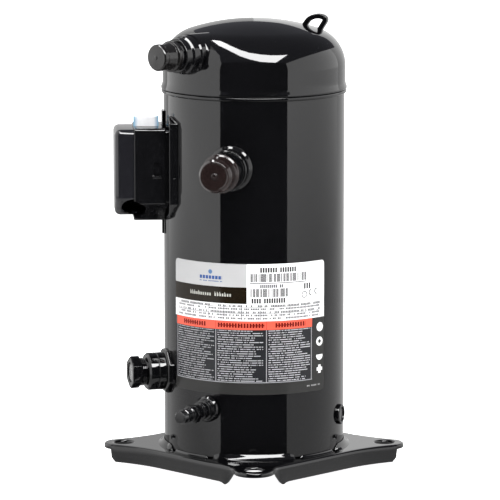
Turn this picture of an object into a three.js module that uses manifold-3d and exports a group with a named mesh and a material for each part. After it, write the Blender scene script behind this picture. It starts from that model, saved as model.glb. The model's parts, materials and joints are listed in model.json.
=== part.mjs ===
// Hermetic scroll compressor of the 7 to 8 horsepower class, in millimetres, +Z up.
// The origin is on the shell axis, at the flat bottom of the lower cap, level with the
// underside of the foot plate. The four mounting holes lie on the X and Y diagonals.
// Every physical piece is its own mesh. Touching pieces keep a gap of GAP between them.
import * as THREE from 'three';
import { mergeVertices } from 'three/addons/utils/BufferGeometryUtils.js';
import Module from 'manifold-3d';

const wasm = await Module();
wasm.setup();

// ---------------------------------------------------------------- driving dimensions
const GAP = 0.35; // clearance left between pieces that touch on the real object
const BIG = 32; // facets round the shell
const MEDIUM = 20; // facets round the motor and scroll pieces
const SMALL = 12; // facets round the fittings

// pressure shell
const SHELL_R = 92.25;
const SHELL_WALL = 3.2;
const SHELL_BORE = SHELL_R - SHELL_WALL;
const SHELL_BOTTOM = 12;
const SHELL_TOP = 366.8;
const RIM_R = 94.4; // weld rim where shell, muffler plate and top cap meet
const RIM_TOP = 370.8;
const CAP_R = 93.2;
const CAP_WALL = 3.4;
const CAP_HEIGHT = 442; // crown of the top cap
const KNUCKLE_R = 39;
const CROWN_R = 215;
const FOOT_R = 94.1; // outside of the lower cap
const FOOT_TOP = 30;
const SPIGOT_R = 69.5; // part of the lower cap that drops into the foot plate

// foot plate
const HOLE_PITCH = 190.5; // 7.5 inch square bolt pattern
const HOLE_R = 9.5;
const EAR_R = 20;
const PLATE_T = 3;
const EDGE = 103.5; // middle of a side, from the axis
const FILLET_R = 24;
const FLANGE_DROP = 14.5; // how far the turned-down sides hang below the plate
const FLANGE_HALF = 80;

// bearings round the axis, in degrees from +X
const SUCTION_AT = -59.5;
const DISCHARGE_AT = -90;
const BOX_AT = -131;
const SIGHT_AT = -119;
const OIL_VALVE_AT = -75;
const EYE_AT = 45;

// inner ends of the stubs, just clear of the housings pressed into the shell
const INSIDE = 88.95;

// heights of the fittings
const SUCTION_Z = 300;
const DISCHARGE_Z = 408;
const SIGHT_Z = 83;
const OIL_VALVE_Z = 54;
const BOSS_AT = 26;
const BOSS_Z = 38.5;

// terminal box
const BOX_BOTTOM = 242;
const BOX_TOP = 333;
const BOX_HALF = 31;
const BOX_SPLIT = 124; // joint between base and cover, from the axis
const BOX_FACE = 143; // outer face of the cover
const BOX_WALL = 2.6;
const BOX_CHAMFER = 17;
const CONDUIT_R = 12.5;
const SADDLE_R = 98;
const SADDLE_HALF = 35; // degrees either side of the box
const SADDLE_BOTTOM = 247;
const SADDLE_TOP = 346;
const TERMINAL_Z = 288;

// running gear
const ORBIT = 4.35; // eccentricity of the crank pin
const PITCH_RADIUS = 2.865; // base circle of the involute, for an 18 mm wrap pitch
const WRAP_T = 4.2;
const WRAP_START = 4.4;
const WRAP_END = 18.2;
const WRAP_STEP = 0.2;
const HOUSING_R = 88.55;
const SCROLL_FACE = 300; // joint between main housing and fixed scroll
const ORBIT_PLATE_BOTTOM = 291.5;
const ORBIT_PLATE_TOP = 299.5;
const WRAP_TOP = 327.5;
const FIXED_FLOOR = 328;
const FIXED_TOP = 340;
const BOLT_CIRCLE = 78;
const STATOR_BOTTOM = 118;
const STATOR_TOP = 208;
const STATOR_BORE = 43;
const SHAFT_R = 16.8;
const ROTOR_R = 42.3;

// ---------------------------------------------------------------- small helpers
const rad = THREE.MathUtils.degToRad;

function circlePoint(cx, cy, radius, degrees) {
  return [cx + radius * Math.cos(rad(degrees)), cy + radius * Math.sin(rad(degrees))];
}

// Points of an arc from one angle to another, both ends included.
function arc(cx, cy, radius, from, to, steps) {
  const points = [];
  for (let i = 0; i <= steps; i += 1) {
    points.push(circlePoint(cx, cy, radius, from + ((to - from) * i) / steps));
  }
  return points;
}

// A profile of [radius, height] points turned about +Z.
function lathe(profile, segments = SMALL, start = 0) {
  const points = profile.map(([r, z]) => new THREE.Vector2(r, z));
  const geometry = new THREE.LatheGeometry(points, segments, start, 2 * Math.PI);
  return geometry.rotateX(Math.PI / 2);
}

// A ring, or a disc when the inner radius is 0, between two heights.
function ring(inner, outer, bottom, top, segments = SMALL, start = 0) {
  const profile = [[inner, bottom], [outer, bottom], [outer, top], [inner, top]];
  if (inner > 0) profile.push([inner, bottom]);
  return lathe(profile, segments, start);
}

// An outline of [x, y] points pulled up from one height to another.
function prism(outline, bottom, top, holes = []) {
  const asVectors = (list) => list.map(([x, y]) => new THREE.Vector2(x, y));
  const shape = new THREE.Shape(asVectors(outline));
  for (const hole of holes) shape.holes.push(new THREE.Path(asVectors(hole)));
  const geometry = new THREE.ExtrudeGeometry(shape, { depth: top - bottom, bevelEnabled: false });
  return geometry.translate(0, 0, bottom);
}

// A band of the given half-angle about bearing 0, between two radii and two heights.
function sector(inner, outer, half, bottom, top, steps = 12) {
  const outline = [...arc(0, 0, outer, -half, half, steps), ...arc(0, 0, inner, half, -half, steps)];
  return prism(outline, bottom, top);
}

// A block given by its lowest and highest corners.
function block([x0, y0, z0], [x1, y1, z1]) {
  const geometry = new THREE.BoxGeometry(x1 - x0, y1 - y0, z1 - z0);
  return geometry.translate((x0 + x1) / 2, (y0 + y1) / 2, (z0 + z1) / 2);
}

// Turns a piece made along +Z so that it points straight out of the shell: its own
// height becomes the distance from the shell axis, and its own -X becomes up.
function radial(geometry, bearing, height) {
  return geometry.rotateY(Math.PI / 2).rotateZ(rad(bearing)).translate(0, 0, height);
}

// An outline of [tangential, height] points pulled out radially at bearing 0, between two
// distances from the axis.
function facing(outline, from, to) {
  return prism(outline, from, to).applyMatrix4(new THREE.Matrix4().makeBasis(
    new THREE.Vector3(0, 1, 0), new THREE.Vector3(0, 0, 1), new THREE.Vector3(1, 0, 0)));
}

// Turns a piece made about the bearing 0 to its own bearing round the shell.
function turned(geometry, bearing) {
  return geometry.rotateZ(rad(bearing));
}

function signedVolume(position, index) {
  const [a, b, c] = [new THREE.Vector3(), new THREE.Vector3(), new THREE.Vector3()];
  let sum = 0;
  for (let i = 0; i < index.length; i += 3) {
    a.fromArray(position, 3 * index[i]);
    b.fromArray(position, 3 * index[i + 1]);
    c.fromArray(position, 3 * index[i + 2]);
    sum += a.dot(b.cross(c));
  }
  return sum / 6;
}

// A closed three.js geometry as a solid that can be cut and joined.
function toSolid(geometry) {
  const bare = geometry.clone();
  bare.deleteAttribute('normal');
  bare.deleteAttribute('uv');
  const merged = mergeVertices(bare, 1e-4);
  const position = merged.attributes.position.array;
  const source = merged.index.array;
  const index = [];
  for (let i = 0; i < source.length; i += 3) {
    const [a, b, c] = [source[i], source[i + 1], source[i + 2]];
    if (a !== b && b !== c && c !== a) index.push(a, b, c);
  }
  if (signedVolume(position, index) < 0) index.reverse();
  return new wasm.Manifold(new wasm.Mesh({
    numProp: 3,
    vertProperties: Float32Array.from(position),
    triVerts: Uint32Array.from(index),
  }));
}

function toGeometry(solid) {
  const { vertProperties, triVerts } = solid.getMesh();
  const geometry = new THREE.BufferGeometry();
  const points = Float32Array.from(vertProperties);
  geometry.setAttribute('position', new THREE.BufferAttribute(points, 3));
  geometry.setIndex(new THREE.BufferAttribute(Uint32Array.from(triVerts), 1));
  geometry.computeVertexNormals();
  return geometry;
}

function cut(geometry, tools) {
  const solid = tools.reduce((left, tool) => left.subtract(toSolid(tool)), toSolid(geometry));
  return toGeometry(solid);
}

function join(pieces) {
  const [first, ...others] = pieces.map(toSolid);
  return toGeometry(others.reduce((whole, piece) => whole.add(piece), first));
}

function common(first, second) {
  return toGeometry(toSolid(first).intersect(toSolid(second)));
}

// ---------------------------------------------------------------- materials
function finish(colour, roughness, metalness = 0) {
  return () => new THREE.MeshStandardMaterial({ color: colour, roughness, metalness });
}

const blackPaint = finish(0x131315, 0.16);
const blackPlastic = finish(0x17171a, 0.3);
const blackRubber = finish(0x1d1a1a, 0.5);
const castIron = finish(0x5c5d60, 0.55, 0.9);
const machinedSteel = finish(0xa9adb2, 0.3, 1);
const bronze = finish(0xb08a4c, 0.35, 1);
const castAluminium = finish(0xbfc3c7, 0.4, 1);
const laminatedSteel = finish(0x77797d, 0.45, 1);
const copperWire = finish(0xa6572b, 0.4, 0.8);
const clearGlass = finish(0xb9c4c4, 0.05);
const ceramicWhite = finish(0xe8e4da, 0.3);
const labelPaper = finish(0xdcdcd8, 0.5);

const compressor = new THREE.Group();
compressor.name = 'scroll_compressor';

function add(name, geometry, material) {
  const closed = toGeometry(toSolid(geometry));
  const mesh = new THREE.Mesh(closed, material());
  mesh.name = name;
  compressor.add(mesh);
}

// ---------------------------------------------------------------- pressure shell
// Outer profile of the top cap from its wall to the crown, moved outwards by grow.
function capProfile(grow, knuckleSteps, crownSteps) {
  const knuckle = KNUCKLE_R + grow;
  const crown = CROWN_R + grow;
  const knuckleX = CAP_R - KNUCKLE_R;
  const crownZ = CAP_HEIGHT - CROWN_R;
  const knuckleZ = crownZ + Math.sqrt((CROWN_R - KNUCKLE_R) ** 2 - knuckleX ** 2);
  const meet = THREE.MathUtils.radToDeg(Math.atan2(knuckleZ - crownZ, knuckleX));
  const shoulder = arc(knuckleX, knuckleZ, knuckle, 0, meet, knuckleSteps);
  const top = arc(0, crownZ, crown, meet, 90, crownSteps).slice(1);
  top[top.length - 1][0] = 0;
  return [...shoulder, ...top];
}

// Solid block filling the shell and the cap, grown by GAP, for trimming what sits on them.
function shellBlock() {
  const profile = [[0, 0], [SHELL_R + GAP, 0], [SHELL_R + GAP, RIM_TOP], [CAP_R + GAP, RIM_TOP]];
  return lathe([...profile, ...capProfile(GAP, 5, 3)], 2 * BIG);
}

function radialHole(radius, from, to, bearing, height, segments = SMALL) {
  return radial(ring(0, radius, from, to, segments), bearing, height);
}

// The tube carries a small blank service boss low on one side, welded on and never drilled.
function shellTube() {
  const tube = ring(SHELL_BORE, SHELL_R, SHELL_BOTTOM, SHELL_TOP, BIG);
  const boss = cut(radialHole(10.4, 60, 95.4, BOSS_AT, BOSS_Z), [
    ring(0, SHELL_BORE + 1, 0, 100, BIG),
    ring(0, 2 * SHELL_R, 0, FOOT_TOP + GAP, BIG),
  ]);
  return cut(join([tube, boss]), [
    radialHole(18.5 + GAP, 60, 120, SUCTION_AT, SUCTION_Z),
    radialHole(12 + GAP, 60, 120, SIGHT_AT, SIGHT_Z),
    radialHole(7 + GAP, 60, 120, OIL_VALVE_AT, OIL_VALVE_Z),
    radialHole(18 + GAP, 60, 120, BOX_AT, TERMINAL_Z),
  ]);
}

function topCap() {
  const outside = [[CAP_R - CAP_WALL, RIM_TOP + GAP], [RIM_R, RIM_TOP + GAP], [RIM_R, RIM_TOP + 2.6],
    [CAP_R, RIM_TOP + 4.2], ...capProfile(0, 5, 4)];
  const inside = capProfile(-CAP_WALL, 3, 2).reverse();
  const shell = lathe([...outside, ...inside, [CAP_R - CAP_WALL, RIM_TOP + GAP]], BIG);
  return cut(shell, [radialHole(14.3 + GAP, 60, 120, DISCHARGE_AT, DISCHARGE_Z)]);
}

function bottomCap() {
  const knuckle = arc(86, 12, FOOT_R - 86, -90, 0, 4);
  return lathe([
    [0, 0], [SPIGOT_R, 0], [SPIGOT_R, PLATE_T + GAP], [80, PLATE_T + GAP], ...knuckle,
    [FOOT_R, FOOT_TOP], [SHELL_R + GAP, FOOT_TOP], [SHELL_R + GAP, SHELL_BOTTOM - GAP],
    [88.5, SHELL_BOTTOM - GAP], [84, 7.2], [0, 4.4],
  ], BIG);
}

// ---------------------------------------------------------------- foot plate
const EAR = HOLE_PITCH / 2;
const FILLET_X = EDGE + FILLET_R;
const FILLET_Y = EAR - Math.sqrt((EAR_R + FILLET_R) ** 2 - (FILLET_X - EAR) ** 2);

// Outline of one corner, from one side fillet round the ear to the next side fillet.
function cornerOutline() {
  const lean = THREE.MathUtils.radToDeg(Math.atan2(EAR - FILLET_Y, FILLET_X - EAR));
  return [
    ...arc(FILLET_X, FILLET_Y, FILLET_R, 180, 180 - lean, 4),
    ...arc(EAR, EAR, EAR_R, -lean, 90 + lean, 12).slice(1),
    ...arc(FILLET_Y, FILLET_X, FILLET_R, -90 + lean, -90, 4).slice(1),
  ];
}

function basePlate() {
  const corner = cornerOutline();
  const outline = [0, 90, 180, 270].flatMap((turn) => corner.map(([x, y]) => [
    x * Math.cos(rad(turn)) - y * Math.sin(rad(turn)),
    x * Math.sin(rad(turn)) + y * Math.cos(rad(turn)),
  ]));
  const holes = [arc(0, 0, SPIGOT_R + GAP, 360, 0, BIG).slice(1)];
  for (const [sx, sy] of [[1, 1], [-1, 1], [-1, -1], [1, -1]]) {
    holes.push(arc(sx * EAR, sy * EAR, HOLE_R, 360, 0, SMALL).slice(1));
  }
  const sheet = prism(outline, 0, PLATE_T, holes);
  const collar = lathe([[FOOT_R + GAP, 1], [101, 1], [101, PLATE_T], [96.5, 8], [FOOT_R + GAP, 8],
    [FOOT_R + GAP, 1]], BIG);
  const flanges = [0, 90, 180, 270].map((turn) => turned(sideFlange(), turn));
  return join([sheet, collar, ...flanges]);
}

// The turned-down side at +X: it follows the plate's edge, and its ends are cut aslant.
function sideFlange() {
  const swing = THREE.MathUtils.radToDeg(Math.asin((FLANGE_HALF - FILLET_Y) / FILLET_R));
  const upper = arc(FILLET_X, FILLET_Y, FILLET_R, 180, 180 - swing, 3);
  const inner = arc(FILLET_X, FILLET_Y, FILLET_R + PLATE_T, 180 - swing, 180, 3);
  const mirrored = (points) => points.map(([x, y]) => [x, -y]).reverse();
  const outline = [...mirrored(upper), ...upper, ...inner, ...mirrored(inner)];
  const under = -FLANGE_DROP - 1;
  const slants = [1, -1].map((side) => facing([[side * (FLANGE_HALF - 12), under],
    [side * (FLANGE_HALF + 9), under], [side * (FLANGE_HALF + 9), -1]], 90, 120));
  return cut(prism(outline, -FLANGE_DROP, PLATE_T), slants);
}

// ---------------------------------------------------------------- lifting eye
// A flat strap bent into a loop and welded to the shoulder of the top cap.
function liftEye() {
  const strap = [[-4, -2.1], [4, -2.1], [4, 2.1], [-4, 2.1]];
  const shape = new THREE.Shape(strap.map(([x, y]) => new THREE.Vector2(x, y)));
  const loop = [[-7.5, -4], [-8.6, 3], [-6.2, 9.4], [0, 12.2], [6.2, 9.4], [8.6, 3], [7.5, -4]];
  const points = loop.map(([along, out]) => new THREE.Vector3(along, 0, out));
  const path = new THREE.CatmullRomCurve3(points);
  const eye = new THREE.ExtrudeGeometry(shape, { steps: 20, bevelEnabled: false, extrudePath: path });
  eye.rotateZ(rad(-18)).rotateY(rad(24)).translate(60, 0, 433.5);
  return cut(turned(eye, EYE_AT), [shellBlock()]);
}

// ---------------------------------------------------------------- sticker round the shell
function nameLabel() {
  const [from, to, inner, outer] = [-103.6, 7, SHELL_R + 0.3, SHELL_R + 0.7];
  const steps = 24;
  const outline = [...arc(0, 0, outer, from, to, steps), ...arc(0, 0, inner, to, from, steps)];
  return prism(outline, 68.5, 202.5);
}

// ---------------------------------------------------------------- tube stubs and their plugs
function suctionStub() {
  return radial(ring(14.5, 18.5, INSIDE, 131), SUCTION_AT, SUCTION_Z);
}

function suctionRing() {
  const collar = lathe([[18.5 + GAP, 80], [23, 80], [23, 96.5], [20.5, 99.5], [18.5 + GAP, 99.5],
    [18.5 + GAP, 80]]);
  return cut(radial(collar, SUCTION_AT, SUCTION_Z), [shellBlock()]);
}

function suctionPlug() {
  return radial(lathe([[0, 112], [14.1, 112], [14.1, 131 + GAP], [19.6, 131 + GAP], [19.6, 136.5],
    [17.2, 138], [16.6, 150], [17.4, 151.5], [15.6, 156], [2.4, 156], [1.6, 157.2], [0, 157.2]]),
  SUCTION_AT, SUCTION_Z);
}

function dischargeStub() {
  return radial(ring(11.2, 14.3, 76, 112, SMALL), DISCHARGE_AT, DISCHARGE_Z);
}

function dischargeRing() {
  const collar = lathe([[14.3 + GAP, 70], [19.5, 70], [19.5, 95], [17.4, 98], [17.4, 106],
    [14.3 + GAP, 106], [14.3 + GAP, 70]]);
  return cut(radial(collar, DISCHARGE_AT, DISCHARGE_Z), [shellBlock()]);
}

function dischargePlug() {
  return radial(lathe([[0, 97], [10.8, 97], [10.8, 112 + GAP], [15.6, 112 + GAP], [15.6, 117],
    [13.6, 119], [12.9, 128], [13.5, 129.5], [13.3, 134], [12, 135.2], [0, 135.2]], SMALL),
  DISCHARGE_AT, DISCHARGE_Z);
}

// ---------------------------------------------------------------- oil sight glass
function sightGlassBoss() {
  const octagon = ring(0, 23.5, 80, 97, 8, Math.PI / 8);
  const collar = cut(octagon, [ring(0, 12 + GAP, 70, 110)]);
  return cut(radial(collar, SIGHT_AT, SIGHT_Z), [shellBlock()]);
}

function sightGlassBody() {
  return radial(lathe([[9.8, INSIDE], [12, INSIDE], [12, 97 + GAP], [19.2, 97 + GAP], [19.2, 104.4],
    [18.5, 104.9], [19.2, 105.4], [19.2, 113.6], [15.6, 117.6], [13.2, 117.6], [13.2, 106],
    [9.8, 106], [9.8, INSIDE]]), SIGHT_AT, SIGHT_Z);
}

function sightGlassNut() {
  const hexagon = lathe([[9.8, 122.5], [14.6, 122.5], [16.8, 124.4], [16.8, 130.2], [14.8, 131.8],
    [9.8, 131.8], [9.8, 122.5]], 6, Math.PI / 6);
  const neck = lathe([[9.8, 107], [12.8, 107], [12.8, 124], [9.8, 124], [9.8, 107]], SMALL);
  return radial(cut(join([hexagon, neck]), [ring(0, 9.9, 100, 140, SMALL)]), SIGHT_AT, SIGHT_Z);
}

function sightGlassLens() {
  return radial(lathe([[0, 122], [9.4, 122], [9.4, 130.2], [0, 131]], SMALL), SIGHT_AT, SIGHT_Z);
}

// ---------------------------------------------------------------- oil access valve
function oilValveStub() {
  const collar = lathe([[0, 80], [13.5, 80], [13.5, 96], [10.5, 99], [7.6, 100], [7.6, 118],
    [0, 118]]);
  const outside = cut(radial(collar, OIL_VALVE_AT, OIL_VALVE_Z), [shellBlock()]);
  const spigot = radialHole(7, INSIDE, 100, OIL_VALVE_AT, OIL_VALVE_Z);
  return cut(join([outside, spigot]), [radialHole(3.4, 60, 130, OIL_VALVE_AT, OIL_VALVE_Z, 12)]);
}

function oilValveBody() {
  const hexagon = ring(2.6, 10, 118 + GAP, 127, 6, Math.PI / 6);
  const thread = ring(2.6, 5.3, 126, 140, 16);
  const body = cut(join([hexagon, thread]), [ring(0, 2.6, 100, 160, 12)]);
  return radial(body, OIL_VALVE_AT, OIL_VALVE_Z);
}

function oilValvePin() {
  return radial(lathe([[0, 122], [2.1, 122], [2.1, 125], [1, 126], [1, 139], [0, 139]], 10),
    OIL_VALVE_AT, OIL_VALVE_Z);
}

function oilValveCap() {
  return radial(lathe([[0, 143.5], [5.8, 143.5], [5.8, 127 + GAP], [8.2, 127 + GAP], [8.2, 132],
    [6.9, 134], [6.6, 150], [5.4, 152.5], [0, 152.5]], SMALL), OIL_VALVE_AT, OIL_VALVE_Z);
}

// ---------------------------------------------------------------- terminal box
// Outline of the box seen from outside, [tangential, height], with its slanted lower corners.
function boxOutline(inset) {
  const half = BOX_HALF - inset;
  const low = BOX_BOTTOM + inset;
  const high = BOX_TOP - inset;
  const slope = BOX_CHAMFER - inset * 0.41;
  return [[-half + slope, low], [half - slope, low], [half, low + slope],
    [half, high - 2], [half - 2, high], [-half + 2, high], [-half, high - 2], [-half, low + slope]];
}

function boxPrism(inset, from, to) {
  return facing(boxOutline(inset), from, to);
}

// Cable entry across the joint of base and cover, square to one slanted corner.
function conduitHole() {
  const middle = BOX_CHAMFER / 2;
  const drill = ring(0, CONDUIT_R, -20, 20, SMALL).rotateX(rad(135));
  return drill.translate(BOX_SPLIT, BOX_HALF - middle, BOX_BOTTOM + middle);
}

function boxBracket() {
  const strap = sector(SHELL_R + GAP, 95.2, 14, 223, 349, 6);
  return turned(cut(strap, [radialHole(19.5, 80, 110, 0, TERMINAL_Z)]), BOX_AT);
}

// Mounting face of the box: a band bent round the shell, sloping back to it at the top,
// with clipped lower corners and a fixing slot in each wing.
function saddle() {
  const slope = lathe([[80, SADDLE_BOTTOM], [SADDLE_R, SADDLE_BOTTOM], [SADDLE_R, BOX_TOP + 1],
    [SHELL_R + 1, SADDLE_TOP], [80, SADDLE_TOP], [80, SADDLE_BOTTOM]], 2 * BIG);
  const band = common(sector(85, 110, SADDLE_HALF, SADDLE_BOTTOM - 1, SADDLE_TOP + 1), slope);
  const low = SADDLE_BOTTOM - 2;
  const clips = [1, -1].map((side) => facing(
    [[side * 45, low], [side * 70, low], [side * 70, low + 34]], 60, 120));
  const slots = [1, -1].map((side) => facing(
    [[side * 47, 284], [side * 49.4, 284], [side * 49.4, 297], [side * 47, 297]], 60, 120));
  return cut(band, [...clips, ...slots]);
}

function terminalBoxBase() {
  const outer = cut(boxPrism(0, 60, BOX_SPLIT - GAP), [ring(0, SADDLE_R - 1, 200, 400, 2 * BIG)]);
  const walls = cut(outer, [boxPrism(BOX_WALL, SADDLE_R, BOX_SPLIT + 5)]);
  return turned(cut(join([saddle(), walls]), [
    sector(80, 95.2 + GAP, 15, 200, 360, 6),
    radialHole(24, 80, 110, 0, TERMINAL_Z),
    conduitHole(),
    ring(0, SHELL_R + GAP, 200, 400, 2 * BIG),
  ]), BOX_AT);
}

function terminalBoxCover() {
  const outer = boxPrism(0, BOX_SPLIT, BOX_FACE);
  const hollow = boxPrism(BOX_WALL, BOX_SPLIT - 5, BOX_FACE - BOX_WALL);
  return turned(cut(outer, [hollow, conduitHole()]), BOX_AT);
}

// Folded paper tag standing on top of the box base.
function boxLabel() {
  const z = BOX_TOP + GAP;
  const tent = [[-7, z], [-6.2, z], [0, z + 10], [6.2, z], [7, z], [0.4, z + 11], [-0.4, z + 11]];
  return turned(facing(tent, 101, 122).translate(0, 8, 0), BOX_AT);
}

// ---------------------------------------------------------------- hermetic terminal
const PIN_CIRCLE = 8.5;

function pinAngle(i) {
  return 90 + 120 * i;
}

// The pressed steel cup that carries the three glass-sealed pins.
function hermeticTerminal() {
  const cup = lathe([[0, 87], [14, 87], [17.8, 85.4], [18, 91.5], [16.6, 91.5], [15, 89.2],
    [0, 89.2]]);
  const holes = [0, 1, 2].map((i) => {
    const [x, y] = circlePoint(0, 0, PIN_CIRCLE, pinAngle(i));
    return ring(0, 2.1 + GAP, 70, 100, 10).translate(x, y, 0);
  });
  return radial(cut(cup, holes), BOX_AT, TERMINAL_Z);
}

function terminalPin(i) {
  const [x, y] = circlePoint(0, 0, PIN_CIRCLE, pinAngle(i));
  return radial(ring(0, 2.1, 81.4, 101, 8).translate(x, y, 0), BOX_AT, TERMINAL_Z);
}

// Moulded block over the pins, with its three wiring tabs left open towards the cover.
function terminalBlock() {
  const body = lathe([[0, 89.6], [14.4, 89.6], [14.4, 92], [17, 92], [17, 106], [0, 106]]);
  const holes = [0, 1, 2].map((i) => {
    const [x, y] = circlePoint(0, 0, PIN_CIRCLE, pinAngle(i));
    return ring(0, 3.4, 80, 120, 12).translate(x, y, 0);
  });
  return radial(cut(body, holes), BOX_AT, TERMINAL_Z);
}

// ---------------------------------------------------------------- motor leads
// Each lead drops from a pin, through a pocket in the housing, to the upper winding head.
function motorLead(i) {
  const [down, side] = circlePoint(0, 0, PIN_CIRCLE, pinAngle(i));
  const lane = [9, 0.6, -8.5][i];
  const pin = TERMINAL_Z - down;
  const route = [
    [79.6, side, pin], [77.6, (2 * side + lane) / 3, pin - 1.4], [76.6, lane, pin - 5],
    [78, lane, 264], [82, lane, 250], [80, lane, 240], [74, lane, 236],
  ].map(([out, across, z]) => new THREE.Vector3(out, across, z));
  const hexagon = arc(0, 0, 1.5, 0, 360, 6).slice(1);
  const section = new THREE.Shape(hexagon.map(([x, y]) => new THREE.Vector2(x, y)));
  const lead = new THREE.ExtrudeGeometry(section, {
    steps: 13, bevelEnabled: false, extrudePath: new THREE.CatmullRomCurve3(route),
  });
  return turned(lead, BOX_AT);
}

// ---------------------------------------------------------------- discharge side
function mufflerPlate() {
  return lathe([[16, 358.6], [76, 358.6], [86.5, SHELL_TOP + GAP], [RIM_R, SHELL_TOP + GAP],
    [RIM_R, RIM_TOP], [84.5, RIM_TOP], [75, 362.2], [16, 362.2], [16, 358.6]], BIG);
}

function checkValveDisc() {
  return ring(0, 20, 362.2 + GAP, 364.6, MEDIUM);
}

function checkValveCage() {
  const cage = cut(ring(0, 25, 362.2 + GAP, 372.5, MEDIUM), [ring(0, 21.2, 360, 369.8, MEDIUM)]);
  const windows = [0, 60, 120].map((turn) => turned(block([-40, -6, 364], [40, 6, 369]), turn));
  const vents = [0, 60, 120, 180, 240, 300].map((turn) => {
    const vent = ring(0, 3.4, 360, 380, 8).translate(13, 0, 0);
    return turned(vent, turn);
  });
  return cut(cage, [...windows, ...vents]);
}

// ---------------------------------------------------------------- scroll set
function involute(angle, offset) {
  const run = angle - offset;
  return [PITCH_RADIUS * (Math.cos(angle) + run * Math.sin(angle)),
    PITCH_RADIUS * (Math.sin(angle) - run * Math.cos(angle))];
}

// The wrap's outline: out along one involute and back along the one WRAP_T away from it.
function wrapOutline() {
  const half = WRAP_T / 2 / PITCH_RADIUS;
  const count = Math.round((WRAP_END - WRAP_START) / WRAP_STEP);
  const step = (WRAP_END - WRAP_START) / count;
  const angles = Array.from({ length: count + 1 }, (_, i) => WRAP_START + step * i);
  const outer = angles.map((angle) => involute(angle, -half));
  const inner = angles.map((angle) => involute(angle, half)).reverse();
  return [...outer, ...inner];
}

function boltBearing(i) {
  return 25 + 90 * i;
}

function boltHoles(radius, bottom, top) {
  return [0, 1, 2, 3].map((i) => {
    const hole = ring(0, radius, bottom, top, 12).translate(BOLT_CIRCLE, 0, 0);
    return turned(hole, boltBearing(i));
  });
}

function fixedScroll() {
  const body = lathe([
    [7, FIXED_FLOOR], [64.5, FIXED_FLOOR], [64.5, SCROLL_FACE], [84, SCROLL_FACE], [84, FIXED_TOP],
    [46.5, FIXED_TOP], [46.5, 352], [43.5, 352], [43.5, 343], [28.5, 343], [28.5, 352], [24, 352],
    [24, FIXED_TOP], [7, FIXED_TOP], [7, FIXED_FLOOR],
  ], MEDIUM);
  const wrap = prism(wrapOutline(), SCROLL_FACE, FIXED_FLOOR + 1);
  return cut(join([body, wrap]), [
    ...boltHoles(4.4, 290, 350),
    radialHole(12, 55, 100, SUCTION_AT, 313),
    ring(0, 7, 326, 345, 16),
  ]);
}

function orbitingScroll() {
  const plate = lathe([[17.7, 266], [22, 266], [22, ORBIT_PLATE_BOTTOM], [66, ORBIT_PLATE_BOTTOM],
    [66, ORBIT_PLATE_TOP], [0, ORBIT_PLATE_TOP], [0, 290.4], [17.7, 290.4], [17.7, 266]], MEDIUM);
  const wrap = prism(wrapOutline(), ORBIT_PLATE_TOP - 1, WRAP_TOP).rotateZ(Math.PI);
  const keyway = block([-4.9, 53.2, 280], [4.9, 75, 297]);
  const keyways = [keyway, turned(keyway.clone(), 180)];
  return cut(join([plate, wrap]), keyways).translate(ORBIT, 0, 0);
}

function orbitingBush() {
  return ring(15.5, 17.7 - GAP, 267, 289, MEDIUM).translate(ORBIT, 0, 0);
}

// Keyed ring that keeps the orbiting scroll from turning: its lower keys slide along X
// in the housing and its upper keys along Y in the orbiting scroll.
function oldhamRing() {
  const band = ring(58, 66, 284, 289, BIG);
  const keys = [0, 180].flatMap((turn) => [
    turned(block([58, -4.2, 277.6], [66, 4.2, 286]), turn),
    turned(block([-4.5, 58, 287], [4.5, 65.6, 296.3]), turn),
  ]);
  return join([band, ...keys]).translate(ORBIT, 0, 0);
}

function thrustRing() {
  return ring(33, 49, 288 + GAP, 291.15, MEDIUM).translate(ORBIT / 2, 0, 0);
}

function floatingSeal() {
  return lathe([[29, 343.3], [43, 343.3], [43, 352], [40, 353], [40, 357.1], [36, 357.1], [36, 354],
    [32, 353], [29, 352], [29, 343.3]], MEDIUM);
}

// ---------------------------------------------------------------- bearing housings
function mainHousing() {
  const body = lathe([
    [20.2, 236], [30, 236], [34, 256], [60, 268], [HOUSING_R, 270], [HOUSING_R, SCROLL_FACE - GAP],
    [71.5, SCROLL_FACE - GAP], [71.5, 283.5], [53, 283.5], [53, 288], [28.5, 288], [28.5, 264],
    [20.2, 264], [20.2, 236],
  ], BIG);
  const keyways = [0, 180].map((turn) => turned(block([52.6, -4.6, 276.8], [71, 4.6, 300]), turn));
  const pockets = [0, 90, 180, 270]
    .map((turn) => turned(block([72.2, -22, 250], [110, 22, 310]), BOX_AT + turn));
  return cut(body, [...keyways, ...pockets, ...boltHoles(4.35, 260, 310)]);
}

function housingBolt(i) {
  const shank = ring(0, 4, 274, 342, 12);
  const head = ring(0, 7.4, 340.9, 347, 6);
  return turned(join([shank, head]).translate(BOLT_CIRCLE, 0, 0), boltBearing(i));
}

function mainBush() {
  return ring(SHAFT_R + 0.45, 20.2 - GAP, 237, 261, MEDIUM);
}

function lowerBracket() {
  const hub = ring(14.6, 22, 40, 62, MEDIUM);
  const web = ring(18, HOUSING_R, 46, 52, BIG);
  const windows = [0, 1, 2].map((i) => turned(sector(32, 78, 42, 30, 70, 5), 120 * i + 30));
  return join([hub, cut(web, windows)]);
}

function lowerBush() {
  return ring(11.5, 14.6 - GAP, 41, 61, MEDIUM);
}

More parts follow.
